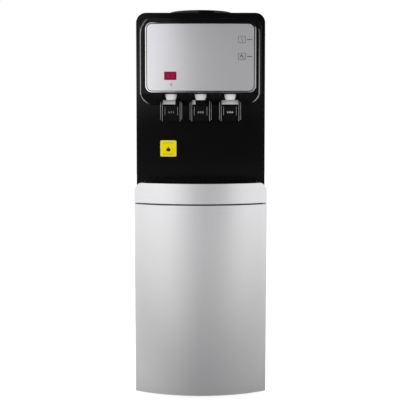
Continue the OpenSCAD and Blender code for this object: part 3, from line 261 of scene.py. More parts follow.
lying_card("floor_mat", 2.2, -1.85, 0.30, 0.004,
    [(0.19, 1.4), (0.28, 1.3), (0.36, 0.95), (0.43, 0.75), (0.5, 0.0), (0.56, 0.29), (0.62, 0.56),
        (0.72, 1.1)],
    [(0.0, 1.0), (0.3, 0.5), (0.55, 0.18), (0.67, 0.19), (0.74, 0.57), (1.0, 0.57)], (1.0, 0.97, 0.88))

LAMP_OUT, LAMP_FRONT, LAMP_HIGH = 1.25, -1.25, 1.25
LAMP_W, LAMP_H, LAMP_AIM = 0.9, 1.3, Vector((0, -0.1, 0.68))
for side, sign, watts in (("left", -1, 15.0), ("right", 1, 13.0)):
    lamp = bpy.data.lights.new(side + "_softbox", "AREA")
    lamp.shape, lamp.size, lamp.size_y, lamp.energy = "RECTANGLE", LAMP_W, LAMP_H, watts
    box = bpy.data.objects.new(side + "_softbox", lamp)
    box.location = (sign * LAMP_OUT, LAMP_FRONT, LAMP_HIGH)
    box.rotation_euler = (LAMP_AIM - box.location).to_track_quat("-Z", "Y").to_euler()
    box.visible_glossy = False
    scene.collection.objects.link(box)

CAMERA_PLACE, CAMERA_PITCH = (-0.0015, -2.535, 0.6636), math.radians(4.0)
view = bpy.data.cameras.new("photo_view")
view.lens, view.sensor_width, view.shift_y = 92.64, 36.0, -0.0323
view.clip_end = 50.0
eye = bpy.data.objects.new("photo_view", view)
eye.location = CAMERA_PLACE
eye.rotation_euler = (math.pi / 2 - CAMERA_PITCH, 0, 0)
scene.collection.objects.link(eye)
scene.camera = eye


# Base: a folded zinc-coated pan on four round rubber feet, whose stems stand in holes in the pan.
# The pan carries the compressor and the lower hinge leaf.
node_body = {n: body for body, names in frame["record"]["behaviour"]["bodies"].items() for n in names}
SHARP, ROUND_SHARP, MADE_SHARP = math.radians(32), math.radians(50), math.radians(40)
MERGE_DIST, FLAT_ANGLE = 2e-6, math.radians(0.4)


def placed(name, mesh, finish, node=None, body=None):
    """Links a finished mesh as a piece that rides on its body and stands for its node."""
    mesh.materials.clear()
    mesh.materials.append(finish)
    piece = bpy.data.objects.new(name, mesh)
    scene.collection.objects.link(piece)
    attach(piece, body or node_body[node])
    if node:
        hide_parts(node)
    return piece


def smooth(mesh, angle=SHARP):
    mesh.shade_smooth()
    mesh.set_sharp_from_angle(angle=angle)


def cast_mesh(form, name):
    mesh = bpy.data.meshes.new(name)
    form.to_mesh(mesh)
    form.free()
    return mesh


def finished(node, finish, edge=0.0006, steps=2):
    """A copy of a solid with its vertices merged and its sharp edges rounded off."""
    form = bmesh.new()
    form.from_mesh(frame["nodes"][node].data)
    bmesh.ops.remove_doubles(form, verts=form.verts, dist=MERGE_DIST)
    bmesh.ops.dissolve_limit(form, angle_limit=FLAT_ANGLE, verts=form.verts, edges=form.edges)
    if edge:
        corners = [e for e in form.edges if e.is_manifold and e.calc_face_angle(0) > SHARP]
        bmesh.ops.bevel(form, geom=corners, offset=edge, offset_type="OFFSET", segments=steps, profile=0.5,
            affect="EDGES", clamp_overlap=True, loop_slide=True)
    mesh = cast_mesh(form, node + "_made")
    smooth(mesh, MADE_SHARP)
    piece = placed(node + "_made", mesh, finish, node)
    even = piece.modifiers.new("even_faces", "WEIGHTED_NORMAL")
    even.keep_sharp, even.weight = True, 60
    return piece


def grey(level, blue=1.0):
    return (level, level, level * blue, 1)


def zinc_coat(name, tone):
    """Zinc-coated sheet with a faint spangle."""
    finish = Finish(name)
    spangle = finish.flakes(130.0)
    dull = finish.noise(14.0, 4.0)
    dark, light = [(tone * k, tone * k * 1.01, tone * k * 1.03, 1) for k in (0.86, 1.1)]
    return finish.paint({"Base Color": finish.mixed(spangle * 0.6 + dull * 0.4, dark, light),
        "Metallic": 0.85, "Roughness": 0.34 + spangle * 0.1 + dull * 0.12,
        "Normal": finish.bump(finish.noise(700.0), 0.05, 0.0004)})


def soft_rubber(name, tone):
    finish = Finish(name)
    bloom = finish.noise(60.0, 4.0)
    return finish.paint({"Base Color": finish.mixed(bloom, grey(tone), grey(tone * 1.6, 0.969)),
        "Roughness": 0.62 + bloom * 0.2, "Normal": finish.bump(finish.noise(1800.0), 0.12, 0.0002)})


zinc = zinc_coat("zinc_coat", 0.42)
foot_rubber = soft_rubber("foot_rubber", 0.016)
finished("base_pan", zinc, 0.0004)
finished("rubber_feet", foot_rubber, 0.0008)


# Cooling set: a black enamelled compressor on rubber mounts, a tube-and-wire condenser behind the rear panel
# and copper pipes that are brazed between them and the evaporator.
def enamel_coat(name, tone):
    finish = Finish(name)
    runs = finish.noise(18.0, 3.0)
    return finish.paint({"Base Color": finish.mixed(runs, grey(tone, 1.05), grey(tone * 1.8, 1.056)),
        "Roughness": 0.24 + runs * 0.16, "Normal": finish.bump(finish.noise(420.0), 0.06, 0.0004)})


def drawn_copper(name):
    finish = Finish(name)
    stain = finish.noise(30.0, 5.0)
    return finish.paint({"Base Color": finish.mixed(stain, (0.62, 0.27, 0.14, 1), (0.76, 0.40, 0.25, 1)),
        "Metallic": 1.0, "Roughness": 0.2 + stain * 0.22,
        "Normal": finish.bump(finish.noise(500.0), 0.03, 0.0003)})


def round_angles(sides):
    return [2 * math.pi * k / sides for k in range(sides)]


def closed_band(form, low, high):
    """Faces between two rings of as many corners."""
    for k in range(len(low)):
        n = (k + 1) % len(low)
        form.faces.new((low[k], low[n], high[n], high[k]))


def tube_mesh(name, routes, radius, sides=12):
    """Round tubes with capped ends along lists of points."""
    form = bmesh.new()
    for route in routes:
        points = [Vector(p) for p in route]
        last = len(points) - 1
        heads = [(points[min(i + 1, last)] - points[max(i - 1, 0)]).normalized() for i in range(len(points))]
        across = heads[0].orthogonal().normalized()
        rings = []
        for point, head in zip(points, heads):
            across = (across - head * across.dot(head)).normalized()
            up = head.cross(across)
            rings.append([form.verts.new(point + radius * (math.cos(t) * across + math.sin(t) * up))
                for t in round_angles(sides)])
        for low, high in zip(rings, rings[1:]):
            closed_band(form, low, high)
        form.faces.new(rings[0][::-1])
        form.faces.new(rings[-1])
    mesh = cast_mesh(form, name)
    smooth(mesh, ROUND_SHARP)
    return mesh


def open_tree(name, inputs):
    """A node tree with named inputs, and a function that adds a node to it."""
    tree = bpy.data.node_groups.new(name, "GeometryNodeTree")
    for title, kind in inputs.items():
        tree.interface.new_socket(title, in_out="INPUT", socket_type="NodeSocket" + kind)
    tree.interface.new_socket("Geometry", in_out="OUTPUT", socket_type="NodeSocketGeometry")

    def add(kind, values):
        made = tree.nodes.new(kind)
        for key, value in values.items():
            if isinstance(value, bpy.types.NodeSocket):
                tree.links.new(value, made.inputs[key])
            else:
                made.inputs[key].default_value = value
        return made.outputs

    return tree, tree.nodes.new("NodeGroupInput").outputs, add


def spread_out(add, points, solid, finish):
    """Ends a node tree with a solid repeated on points."""
    copies = add("GeometryNodeInstanceOnPoints", {"Points": points, "Instance": solid})
    real = add("GeometryNodeRealizeInstances", {"Geometry": copies["Instances"]})
    coated = add("GeometryNodeSetMaterial", {"Geometry": real["Geometry"], "Material": finish})
    add("NodeGroupOutput", {"Geometry": coated["Geometry"]})


def wire_row(name, finish):
    """Node tree: a row of upright round wires."""
    inputs = {"Count": "Int", "Spacing": "Float", "Length": "Float", "Radius": "Float", "Start": "Vector"}
    tree, given, add = open_tree(name, inputs)
    step = add("ShaderNodeCombineXYZ", {"X": given["Spacing"]})
    row = add("GeometryNodeMeshLine", {"Count": given["Count"], "Start Location": given["Start"],
        "Offset": step["Vector"]})
    rod = add("GeometryNodeMeshCylinder", {"Vertices": 8, "Radius": given["Radius"],
        "Depth": given["Length"]})
    spread_out(add, row["Mesh"], rod["Mesh"], finish)
    return tree


def grown(name, tree, inputs):
    """The plain mesh that a node tree makes from its named inputs."""
    carrier = bpy.data.objects.new(name, bpy.data.meshes.new(name + "_seed"))
    scene.collection.objects.link(carrier)
    tool = carrier.modifiers.new(name, "NODES")
    tool.node_group = tree
    for item in tree.interface.items_tree:
        if item.item_type == "SOCKET" and item.in_out == "INPUT" and item.name in inputs:
            tool[item.identifier] = inputs[item.name]
    shown = carrier.evaluated_get(bpy.context.evaluated_depsgraph_get())
    mesh = bpy.data.meshes.new_from_object(shown)
    carrier.modifiers.remove(tool)
    bpy.data.objects.remove(carrier)
    return mesh


def joined(name, meshes):
    form = bmesh.new()
    for mesh in meshes:
        form.from_mesh(mesh)
    whole = cast_mesh(form, name)
    smooth(whole, ROUND_SHARP)
    return whole


enamel = enamel_coat("black_enamel", 0.012)
copper = drawn_copper("drawn_copper")
finished("compressor", enamel, 0.0012)
finished("compressor_mounts", foot_rubber, 0.0008)
finished("refrigerant_line", copper, 0.0)

REAR_Y = 0.155
COND_HALF, COND_Y, COND_LOW, COND_PITCH, COND_RUNS, COND_TUBE = 0.125, 0.1817, 0.170, 0.032, 11, 0.0024
COND_TOP = COND_LOW + (COND_RUNS - 1) * COND_PITCH
WIRES, WIRE_R, WIRE_INSET, WIRE_OVER = 34, 0.00075, 0.015, 0.008
BRACKET_X, BRACKET_R, BRACKET_GAP = 0.097, 0.005, 0.0002
bend = COND_PITCH / 2
serpent = []
for run in range(COND_RUNS):
    heading = 1 if run % 2 == 0 else -1
    level = COND_LOW + run * COND_PITCH
    serpent += [(heading * s * COND_HALF, COND_Y, level) for s in (-1, -0.5, 0, 0.5, 1)]
    if run < COND_RUNS - 1:
        serpent += [(heading * (COND_HALF + bend * math.sin(a)), COND_Y, level + bend - bend * math.cos(a))
            for a in (math.pi * k / 12 for k in range(1, 12))]
tubes = tube_mesh("condenser_tube", [serpent], COND_TUBE)
wire_half = COND_HALF - WIRE_INSET
wires = grown("condenser_wires", wire_row("wire_row", enamel), {"Count": WIRES, "Radius": WIRE_R,
    "Spacing": 2 * wire_half / (WIRES - 1), "Length": COND_TOP - COND_LOW + 2 * WIRE_OVER,
    "Start": (-wire_half, COND_Y + COND_TUBE, (COND_LOW + COND_TOP) / 2)})
brackets = tube_mesh("condenser_brackets", [[(x, REAR_Y + BRACKET_GAP, z), (x, COND_Y, z)]
    for x in (-BRACKET_X, BRACKET_X) for z in (COND_LOW + COND_PITCH, COND_TOP - COND_PITCH)], BRACKET_R, 20)
placed("condenser_made", joined("condenser_made", [tubes, wires, brackets]), enamel, "condenser")


# Tanks: a folded frame with two decks, a stainless cold tank in foam with the evaporator wound round it,
# and a stainless hot tank in a light jacket below.
def drawn_steel(name, tone):
    finish = Finish(name)
    hair = finish.noise(90.0, 3.0, (1.0, 1.0, 26.0))
    cloud = finish.noise(9.0, 3.0)
    coat = finish.mixed(hair * 0.5 + cloud * 0.5, grey(tone * 0.9, 1.011), grey(tone * 1.08, 1.009))
    return finish.paint({"Base Color": coat, "Metallic": 1.0, "Roughness": 0.18 + hair * 0.18,
        "Normal": finish.bump(hair, 0.08, 0.0002)})


def cut_foam(name, light, dark):
    finish = Finish(name)
    pores = finish.cells(700.0, "Distance")
    patch = finish.noise(22.0, 4.0)
    return finish.paint({"Base Color": finish.mixed(patch, dark, light), "Roughness": 0.82 + pores * 0.1,
        "Normal": finish.bump(pores, 0.35, 0.0006)})


def winding(x, y, low, radius, pitch, turns, steps):
    """Points of a helix."""
    return [(x + radius * math.cos(2 * math.pi * i / steps), y + radius * math.sin(2 * math.pi * i / steps),
        low + pitch * i / steps) for i in range(round(turns * steps) + 1)]


stainless = drawn_steel("drawn_stainless", 0.62)
foam = cut_foam("cut_foam", (0.78, 0.69, 0.46, 1), (0.64, 0.552, 0.34, 1))
finished("tank_frame", zinc, 0.0003)
finished("cold_tank", stainless, 0.0004)
finished("hot_tank", stainless, 0.0004)
finished("tank_foam", foam, 0.001)
finished("hot_jacket", foam, 0.001)
TANK_Y, COIL_R, COIL_TUBE, COIL_PITCH, COIL_TURNS, COIL_STEPS = 0.057, 0.060, 0.0035, 0.015, 9, 40
coil_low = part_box("evaporator_coil")[0].z + COIL_TUBE
coil_route = winding(0, TANK_Y, coil_low, COIL_R, COIL_PITCH, COIL_TURNS, COIL_STEPS)
coil = tube_mesh("evaporator_coil_made", [coil_route], COIL_TUBE, 14)
placed("evaporator_coil_made", coil, copper, "evaporator_coil")


# Water ways: milky silicone hoses are pushed on the spigots of tanks and taps. A white moulded drain pipe
# leads out at the back, where a ribbed cap closes it.
def milky_silicone(name):
    finish = Finish(name)
    haze = finish.noise(40.0, 3.0)
    return finish.paint({"Base Color": finish.mixed(haze, (0.70, 0.71, 0.69, 1), (0.82, 0.82, 0.79, 1)),
        "Roughness": 0.3 + haze * 0.15, "Subsurface Weight": 0.15, "Subsurface Radius": (0.004, 0.004, 0.003),
        "Normal": finish.bump(finish.noise(300.0), 0.04, 0.0003)})


def moulded_white(name, tone):
    finish = Finish(name)
    flow = finish.noise(16.0, 3.0)
    return finish.paint({"Base Color": finish.mixed(flow, grey(tone * 0.92, 0.951), grey(tone, 0.97)),
        "Roughness": 0.36 + flow * 0.14, "Normal": finish.bump(finish.noise(1100.0), 0.06, 0.0002)})


silicone = milky_silicone("milky_silicone")
white_plastic = moulded_white("moulded_white", 0.76)
for hose in ("hot_tubes", "cold_tube", "ambient_tube"):
    finished(hose, silicone, 0.0)
finished("drain_pipe", white_plastic, 0.0005)
finished("drain_cap", white_plastic, 0.0004)


# Cabinet: a white vacuum-formed liner behind the door, two black powder-coated side sheets and a zinc-coated
# rear sheet with louvres, held by six cross-head screws.
def powder_coat(name, tone):
    finish = Finish(name)
    peel = finish.noise(900.0, 2.0)
    cloud = finish.noise(7.0, 3.0)
    return finish.paint({"Base Color": finish.mixed(cloud, grey(tone, 1.04), grey(tone * 1.35, 1.037)),
        "Roughness": 0.4 + peel * 0.14, "Specular IOR Level": 0.4, "Normal": finish.bump(peel, 0.12, 0.0003)})


def plated(name, tone):
    finish = Finish(name)
    dull = finish.noise(120.0, 4.0)
    return finish.paint({"Base Color": finish.mixed(dull, grey(tone * 0.88, 1.023), grey(tone, 1.01)),
        "Metallic": 1.0, "Roughness": 0.2 + dull * 0.2,
        "Normal": finish.bump(finish.noise(1500.0), 0.04, 0.0002)})


black_sheet = powder_coat("black_powder_coat", 0.011)
plated_steel = plated("plated_steel", 0.66)
finished("cabinet_liner", white_plastic, 0.0008)
finished("left_side_panel", black_sheet, 0.0003)
finished("right_side_panel", black_sheet, 0.0003)
finished("rear_panel", zinc, 0.0003)


def cross_head_screw(name, head_r, head_h, shank_r, shank_len):
    """A pan-head screw along +Y with a cross recess, its head seated at the origin."""
    form = bmesh.new()
    sides, corners = 24, 12
    profile = [(head_r * 0.55, head_h), (head_r * 0.85, head_h * 0.8), (head_r, head_h * 0.35), (head_r, 0.0),
        (shank_r, 0.0), (shank_r, -shank_len)]
    rings = [[form.verts.new((radius * math.cos(t), height, radius * math.sin(t)))
        for t in round_angles(sides)] for radius, height in profile]
    for low, high in zip(rings, rings[1:]):
        closed_band(form, low, high)
    form.faces.new(rings[-1])
    # the recess is a cross of twelve corners, sunk into the flat of the head
    arm, half = head_r * 0.42, head_r * 0.11
    cross = [(half, arm), (-half, arm), (-half, half), (-arm, half), (-arm, -half), (-half, -half),
        (-half, -arm), (half, -arm), (half, -half), (arm, -half), (arm, half), (half, half)]
    top = [form.verts.new((x, head_h, z)) for x, z in cross]
    foot = [form.verts.new((x * 0.6, head_h * 0.35, z * 0.6)) for x, z in cross]
    closed_band(form, top, foot)
    form.faces.new(foot)
    order = sorted(range(corners), key=lambda k: math.atan2(cross[k][1], cross[k][0]) % (2 * math.pi))
    share = sides // corners
    for place, k in enumerate(order):
        rim = [rings[0][(place * share + j) % sides] for j in range(share + 1)]
        form.faces.new([top[k]] + rim + [top[order[(place + 1) % corners]]])
    bmesh.ops.recalc_face_normals(form, faces=form.faces)
    mesh = cast_mesh(form, name)
    smooth(mesh)
    return mesh


def screw_row(name, finish):
    """Node tree: one given solid repeated on the points of a given mesh."""
    tree, given, add = open_tree(name, {"Solid": "Object", "Places": "Object"})
    solid = add("GeometryNodeObjectInfo", {"Object": given["Solid"]})
    places = add("GeometryNodeObjectInfo", {"Object": given["Places"]})
    spread_out(add, places["Geometry"], solid["Geometry"], finish)
    return tree


SCREW_HEAD, SCREW_HEAD_H, SCREW_SHANK, SCREW_LENGTH, MIDDLE_SCREW_Z = 0.004, 0.0024, 0.002, 0.009, 0.4385
screw_low, screw_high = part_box("rear_screws")
screw_levels = (screw_low.z + SCREW_HEAD, MIDDLE_SCREW_Z, screw_high.z - SCREW_HEAD)
spots = bpy.data.meshes.new("screw_places")
spots.from_pydata([(x, REAR_Y, z) for x in (screw_low.x + SCREW_HEAD, screw_high.x - SCREW_HEAD)
    for z in screw_levels], [], [])
screw_mesh = cross_head_screw("one_screw", SCREW_HEAD, SCREW_HEAD_H, SCREW_SHANK, SCREW_LENGTH)
screw_places = bpy.data.objects.new("screw_places", spots)
one_screw = bpy.data.objects.new("one_screw", screw_mesh)
for helper in (screw_places, one_screw):
    scene.collection.objects.link(helper)
screws = grown("rear_screws_made", screw_row("screw_row", plated_steel),
    {"Solid": one_screw, "Places": screw_places})
for helper in (screw_places, one_screw):
    bpy.data.objects.remove(helper)
smooth(screws)
placed("rear_screws_made", screws, plated_steel, "rear_screws")


# Service plate: a black moulding let into the rear sheet, with a mains inlet and two tinted rocker switches.
# The control board stands on four pillars inside the rear sheet.
def flow_marked(finish, tone):
    """The faint flow marks of a black moulding: their pattern and their colour."""
    flow = finish.noise(11.0, 3.0)
    return flow, finish.mixed(flow, grey(tone, 1.08), grey(tone * 1.5, 1.1))


def black_gloss(name, tone, rough, shine):
    """Gloss black moulding with a fine orange peel."""
    finish = Finish(name)
    flow, black = flow_marked(finish, tone)
    return finish.paint({"Base Color": black, "Roughness": rough + flow * 0.05, "Specular IOR Level": shine,
        "Normal": finish.bump(finish.noise(520.0, 2.0), 0.025, 0.0002)})


def tinted_rocker(name, dark, light):
    finish = Finish(name)
    flow = finish.noise(150.0, 3.0)
    return finish.paint({"Base Color": finish.mixed(flow, dark, light), "Roughness": 0.16 + flow * 0.1,
        "Coat Weight": 0.3})


def etched_board(name):
    """Green lacquered board with paler tracks under the lacquer."""
    finish = Finish(name)
    lane = finish.cells(260.0, "Distance", {"distance": "MANHATTAN"})
    spray = finish.noise(80.0, 3.0)
    green = finish.mixed(spray, (0.016, 0.15, 0.05, 1), (0.03, 0.21, 0.08, 1))
    return finish.paint({"Base Color": finish.mixed((lane < 0.28) * 0.45, green, (0.08, 0.32, 0.13, 1)),
        "Roughness": 0.3 + spray * 0.15, "Normal": finish.bump(lane, 0.15, 0.0002)})


black_shell = black_gloss("black_shell_gloss", 0.0024, 0.12, 0.3)
red_rocker = tinted_rocker("red_rocker", (0.42, 0.012, 0.01, 1), (0.56, 0.03, 0.022, 1))
green_rocker = tinted_rocker("green_rocker", (0.014, 0.24, 0.05, 1), (0.03, 0.34, 0.09, 1))
board_green = etched_board("etched_board")
finished("service_plate", black_shell, 0.0005)
finished("hot_switch", red_rocker, 0.0006)
finished("cold_switch", green_rocker, 0.0006)
finished("control_board", board_green, 0.0004)


# Waist band: a silver-painted moulding, bowed like the door, that carries the drip tray in a well.
# The tray and its slotted grille are loose black mouldings.
# Plain black for the band's shelf, also used for the painted shade round the panel and the painted dark
# reflection on the trim.
BARE_OR_SHADED_BLACK = (0.003, 0.003, 0.0032, 1)
BAND_EDGE_Y, BAND_ROUND = -0.131, 0.002


def silver_paint(name, tone, metal, rough, flake, blue, black=None):
    """Fine metal flakes under a satin lacquer. black marks where the paint is left black: the band's
    unpainted shelf, and a painted shadow line round the panel.
    """
    finish = Finish(name)
    glint = finish.flakes(2600.0)
    cloud = finish.noise(6.0, 3.0)
    dark, light = grey(tone * (1 - flake), blue), grey(tone * (1 + flake), blue)
    coat = finish.mixed(glint * 0.7 + cloud * 0.3, dark, light)
    shine = rough + glint * 0.05 + cloud * 0.03
    if black:
        bare_or_shaded = black(finish)
        coat = finish.mixed(bare_or_shaded, coat, BARE_OR_SHADED_BLACK)
        metal, shine = (1.0 - bare_or_shaded) * metal, shine - bare_or_shaded * 0.15
    return finish.paint({"Base Color": coat, "Metallic": metal, "Roughness": shine,
        "Normal": finish.bump(finish.noise(1400.0), 0.02, 0.0002)})


def band_shelf(finish):
    """The shelf behind the band's front edge, which the paint leaves free."""
    return (finish.facing("Z") > 0.25) * (finish.along("Y") > BAND_EDGE_Y)


finished("waist_band", silver_paint("band_silver", 0.88, 0.68, 0.32, 0.05, 1.03, band_shelf), BAND_ROUND, 3)
finished("drip_tray", black_shell, 0.0002)
finished("drip_grille", black_shell, 0.0002)


# Front: one gloss black moulding closes the head and the cup space. A square of yellow film is stuck to it,
# printed with a round mark and two faint bars.
LABEL_BORDER, BAR_UP, BAR_HALF_W, BAR_HALF_H = 0.0026, 0.0138, 0.0125, 0.0011
SPOT_SHIFT, SPOT_R, SPOT_SQUEEZE, TIP_R = 0.0030, 0.0042, 0.62, 0.0013


def film_label(name, middle, half):
    """Yellow film with a slightly paler border and its print."""
    finish = Finish(name)
    x, up = abs(finish.along("X") - middle.x), finish.along("Z") - middle.z
    z = abs(up)
    low, high = up + SPOT_SHIFT, up - SPOT_SHIFT
    mark = ((x * x * SPOT_SQUEEZE + low * low) < SPOT_R ** 2).largest((x * x + high * high) < TIP_R ** 2)
    bars = (abs(z - BAR_UP) < BAR_HALF_H) * (x < BAR_HALF_W)
    grain = finish.noise(400.0, 3.0)
    yellow = finish.mixed(grain, (0.90, 0.74, 0.0005, 1), (0.97, 0.81, 0.001, 1))
    barred = finish.mixed(bars * 0.4, yellow, (0.45, 0.22, 0.005, 1))
    field = finish.mixed(x.largest(z) < half - LABEL_BORDER, (0.86, 0.76, 0.14, 1), barred)
    return finish.paint({"Base Color": finish.mixed(mark, field, (0.05, 0.012, 0.004, 1)),
        "Roughness": 0.4 + grain * 0.12, "Specular IOR Level": 0.12,
        "Normal": finish.bump(grain, 0.03, 0.0002)})


label_low, label_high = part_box("plain_label")
label_film = film_label("film_label", (label_low + label_high) / 2, (label_high.x - label_low.x) / 2)
finished("front_fascia", black_shell, 0.0012)
finished("plain_label", label_film, 0.0002)


# Taps: black moulded bodies with plated cone nozzles. Each valve stem is lifted by a paddle that turns on a
# steel pin, against a small coil spring.
TAP_PITCH, LINE_W, WORN_ROUGH = 0.070, 0.0006, 0.6
RIM_LINES, PLATE_LINE, PLATE_LOW, PLATE_HIGH = (0.0255, 0.0213), 0.0155, 0.6625, 0.6845


def satin_plate(name, tone, metal, rough, black=None):
    """Plated plastic. black marks where the plating is painted black, a painted dark reflection."""
    finish = Finish(name)
    turn = finish.noise(240.0, 3.0, (1.0, 1.0, 14.0))
    coat = finish.mixed(turn, grey(tone * 0.93, 1.011), grey(tone, 1.01))
    if black:
        bare_or_shaded = black(finish)
        coat, metal = finish.mixed(bare_or_shaded, coat, BARE_OR_SHADED_BLACK), (1.0 - bare_or_shaded) * metal
    return finish.paint({"Base Color": coat, "Metallic": metal, "Roughness": rough + turn * 0.08,
        "Normal": finish.bump(turn, 0.03, 0.0002)})


def gloss_with_painted_highlights(name, tone, rough, shine, edge, highlight_tone, dull_from=1.0):
    """Gloss black moulding. edge marks where highlights are painted on in light grey. Right of dull_from it
    is worn matt.
    """
    finish = Finish(name)
    flow, black = flow_marked(finish, tone)
    worn = (finish.along("X") > dull_from) * WORN_ROUGH
    return finish.paint({"Base Color": finish.mixed(edge(finish), black, grey(highlight_tone)),
        "Roughness": rough + flow * 0.05 + worn, "Specular IOR Level": shine})


def lever_highlight_lines(finish):
    """Painted highlights: thin light lines on the upright edges of a paddle's rims and of its middle plate.
    """
    spot, z = finish.along("X") + TAP_PITCH / 2, finish.along("Z")
    across = abs(spot.maths("FLOORED_MODULO", spot, TAP_PITCH) - TAP_PITCH / 2)
    lines = (across > PLATE_LINE - LINE_W) * (across < PLATE_LINE) * (z > PLATE_LOW) * (z < PLATE_HIGH)
    for half in RIM_LINES:
        lines = lines.largest((across > half - LINE_W) * (across < half))
    return lines * (finish.facing("Y") < -0.7)


def print_ink(name, tone):
    finish = Finish(name)
    cover = finish.noise(900.0, 2.0)
    return finish.paint({"Base Color": finish.mixed(cover, tuple(0.9 * c for c in tone) + (1,), tone + (1,)),
        "Roughness": 0.4 + cover * 0.1})


def face_of(node):
    """The front of a solid as a function of x and z."""
    solid = frame["nodes"][node].data
    skin = BVHTree.FromPolygons([v.co for v in solid.vertices], [p.vertices for p in solid.polygons])
    return lambda x, z: skin.ray_cast(Vector((x, -1.0, z)), Vector((0, 1, 0)))[0].y


def thin_plates(name, pairs):
    """Closed plates between pairs of outlines."""
    form = bmesh.new()
    for pair in pairs:
        back, front = [[form.verts.new(corner) for corner in outline] for outline in pair]
        form.faces.new(back[::-1])
        form.faces.new(front)
        closed_band(form, back, front)
    bmesh.ops.recalc_face_normals(form, faces=form.faces)
    return cast_mesh(form, name)


def printed(name, lines, width, depth, face_y, ink, body):
    """Flat strokes along lists of (x, z) points. depth is how far they stand out of the face and into it."""
    lift, sink = depth
    strokes = []
    for line in lines:
        for (x0, z0), (x1, z1) in zip(line, line[1:]):
            run = math.hypot(x1 - x0, z1 - z0)
            dx, dz = (x1 - x0) / run * width / 2, (z1 - z0) / run * width / 2
            outline = [(x0 - dx - dz, z0 - dz + dx), (x0 - dx + dz, z0 - dz - dx),
                (x1 + dx + dz, z1 + dz - dx), (x1 + dx - dz, z1 + dz + dx)]
            strokes.append([[(x, face_y(x, z) + shift, z) for x, z in outline] for shift in (sink, -lift)])
    placed(name, thin_plates(name, strokes), ink, None, body)


def steam(x, z, r):
    return [[(x + r * 0.45 * math.sin(math.pi * k / 3), z + r * (k / 3 - 1)) for k in range(7)]]


def droplet(x, z, r):
    turn = [(x + 0.62 * r * math.sin(t), z - 0.35 * r - 0.62 * r * math.cos(t))
        for t in (math.pi * k / 6 for k in range(-4, 5))]
    return [[(x, z + r)] + turn + [(x, z + r)]]


def snow(x, z, r):
    return [[(x - r * math.cos(t), z - r * math.sin(t)), (x + r * math.cos(t), z + r * math.sin(t))]
        for t in (math.pi * k / 3 + math.pi / 6 for k in range(3))]


SHOULDER, STRIP_IN, STRIP_OUT = ((-0.072, 0.6995), (-0.0773, 0.6889)), -0.0002, 0.0003


def shoulder_strip(name, left, right):
    """A thin plate on the sloped shoulder of a paddle."""
    (y0, z0), (y1, z1) = SHOULDER
    out = Vector((0, z1 - z0, y0 - y1)).normalized()
    outline = [Vector(p) for p in ((left, y0, z0), (right, y0, z0), (right, y1, z1), (left, y1, z1))]
    return thin_plates(name, [[[p + out * rise for p in outline] for rise in (STRIP_IN, STRIP_OUT)]])


black_lever = gloss_with_painted_highlights("black_lever_gloss", 0.0030, 0.1, 0.3, lever_highlight_lines, 0.5)
cone_plate = satin_plate("cone_plate", 0.97, 0.05, 0.25)
strip_plate = satin_plate("strip_plate", 0.78, 0.2, 0.3)
white_ink = print_ink("white_ink", (0.72, 0.72, 0.72))
MARK_Z, MARK_STEP, MARK_SIZE, MARK_LINE, MARK_DEPTH = 0.6704, 0.0052, 0.0021, 0.0006, (0.0001, 0.0003)
STEM_Y, SPRING_LOW, SPRING_HIGH, VALVE_TRAVEL = -0.055, 0.7293, 0.7422, 0.0028
SPRING_WIRE, SPRING_R, SPRING_TURNS, SPRING_STEPS = 0.0006, 0.00525, 4.5, 20
# The short strip on the middle paddle is a painted highlight standing for small glints on its shoulder; the
# hot and cold paddles carry silver strips.
TAPS = {"hot": (-TAP_PITCH, steam, -0.0195, 0.0097), "ambient": (0.0, droplet, -0.0195, -0.0123),
    "cold": (TAP_PITCH, snow, -0.0195, 0.0195)}
for tap, (tap_x, sign, strip_left, strip_right) in TAPS.items():
    finished(tap + "_tap_body", black_shell, 0.0006)
    finished(tap + "_nozzle", cone_plate, 0.0008)
    finished(tap + "_stem", white_plastic, 0.0003)
    finished(tap + "_paddle", black_lever, 0.0004)
    lever = tap + "_lever"
    marks = [line for k in (-1, 0, 1) for line in sign(tap_x + k * MARK_STEP, MARK_Z, MARK_SIZE)]
    printed(tap + "_mark", marks, MARK_LINE, MARK_DEPTH, face_of(tap + "_paddle"), white_ink, lever)
    strip = shoulder_strip(tap + "_strip", tap_x + strip_left, tap_x + strip_right)
    placed(tap + "_strip", strip, strip_plate, None, lever)
    low, high = SPRING_LOW + SPRING_WIRE, SPRING_HIGH - SPRING_WIRE
    pitch = (high - low) / SPRING_TURNS
    spring_route = winding(tap_x, STEM_Y, low, SPRING_R, pitch, SPRING_TURNS, SPRING_STEPS)
    spring_coil = tube_mesh(tap + "_spring_made", [spring_route], SPRING_WIRE, 8)
    spring = placed(tap + "_spring_made", spring_coil, plated_steel, tap + "_spring")
    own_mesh(spring)
finished("pivot_pins", plated_steel, 0.0003)


# Hood: a gloss black moulding over the taps. The silver panel is stuck to its bowed face inside a plated
# trim, with a dark red display window and its lamp board behind.
SEAM, PANEL_R = 0.0012, 0.013
TRIM_LEFT, TRIM_CORNER, TRIM_FADE = -0.140, 0.012, 0.055
CORNER_RISE, LEFT_RISE, FADE_RISE, FADE_MOST = 200.0, 25.0, 14.0, 0.6
panel_low, panel_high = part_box("control_panel")


# The filter's faint red emission is a painted glow: nothing behind it is lit.
def red_filter(name):
    finish = Finish(name)
    haze = finish.noise(70.0, 3.0)
    return finish.paint({"Base Color": finish.mixed(haze, (0.18, 0.0012, 0.024, 1), (0.22, 0.002, 0.032, 1)),
        "Roughness": 0.16 + haze * 0.06, "Specular IOR Level": 0.12, "Emission Strength": 1.0,
        "Emission Color": finish.mixed(haze, (0.05, 0.0005, 0.008, 1), (0.07, 0.0008, 0.012, 1))})


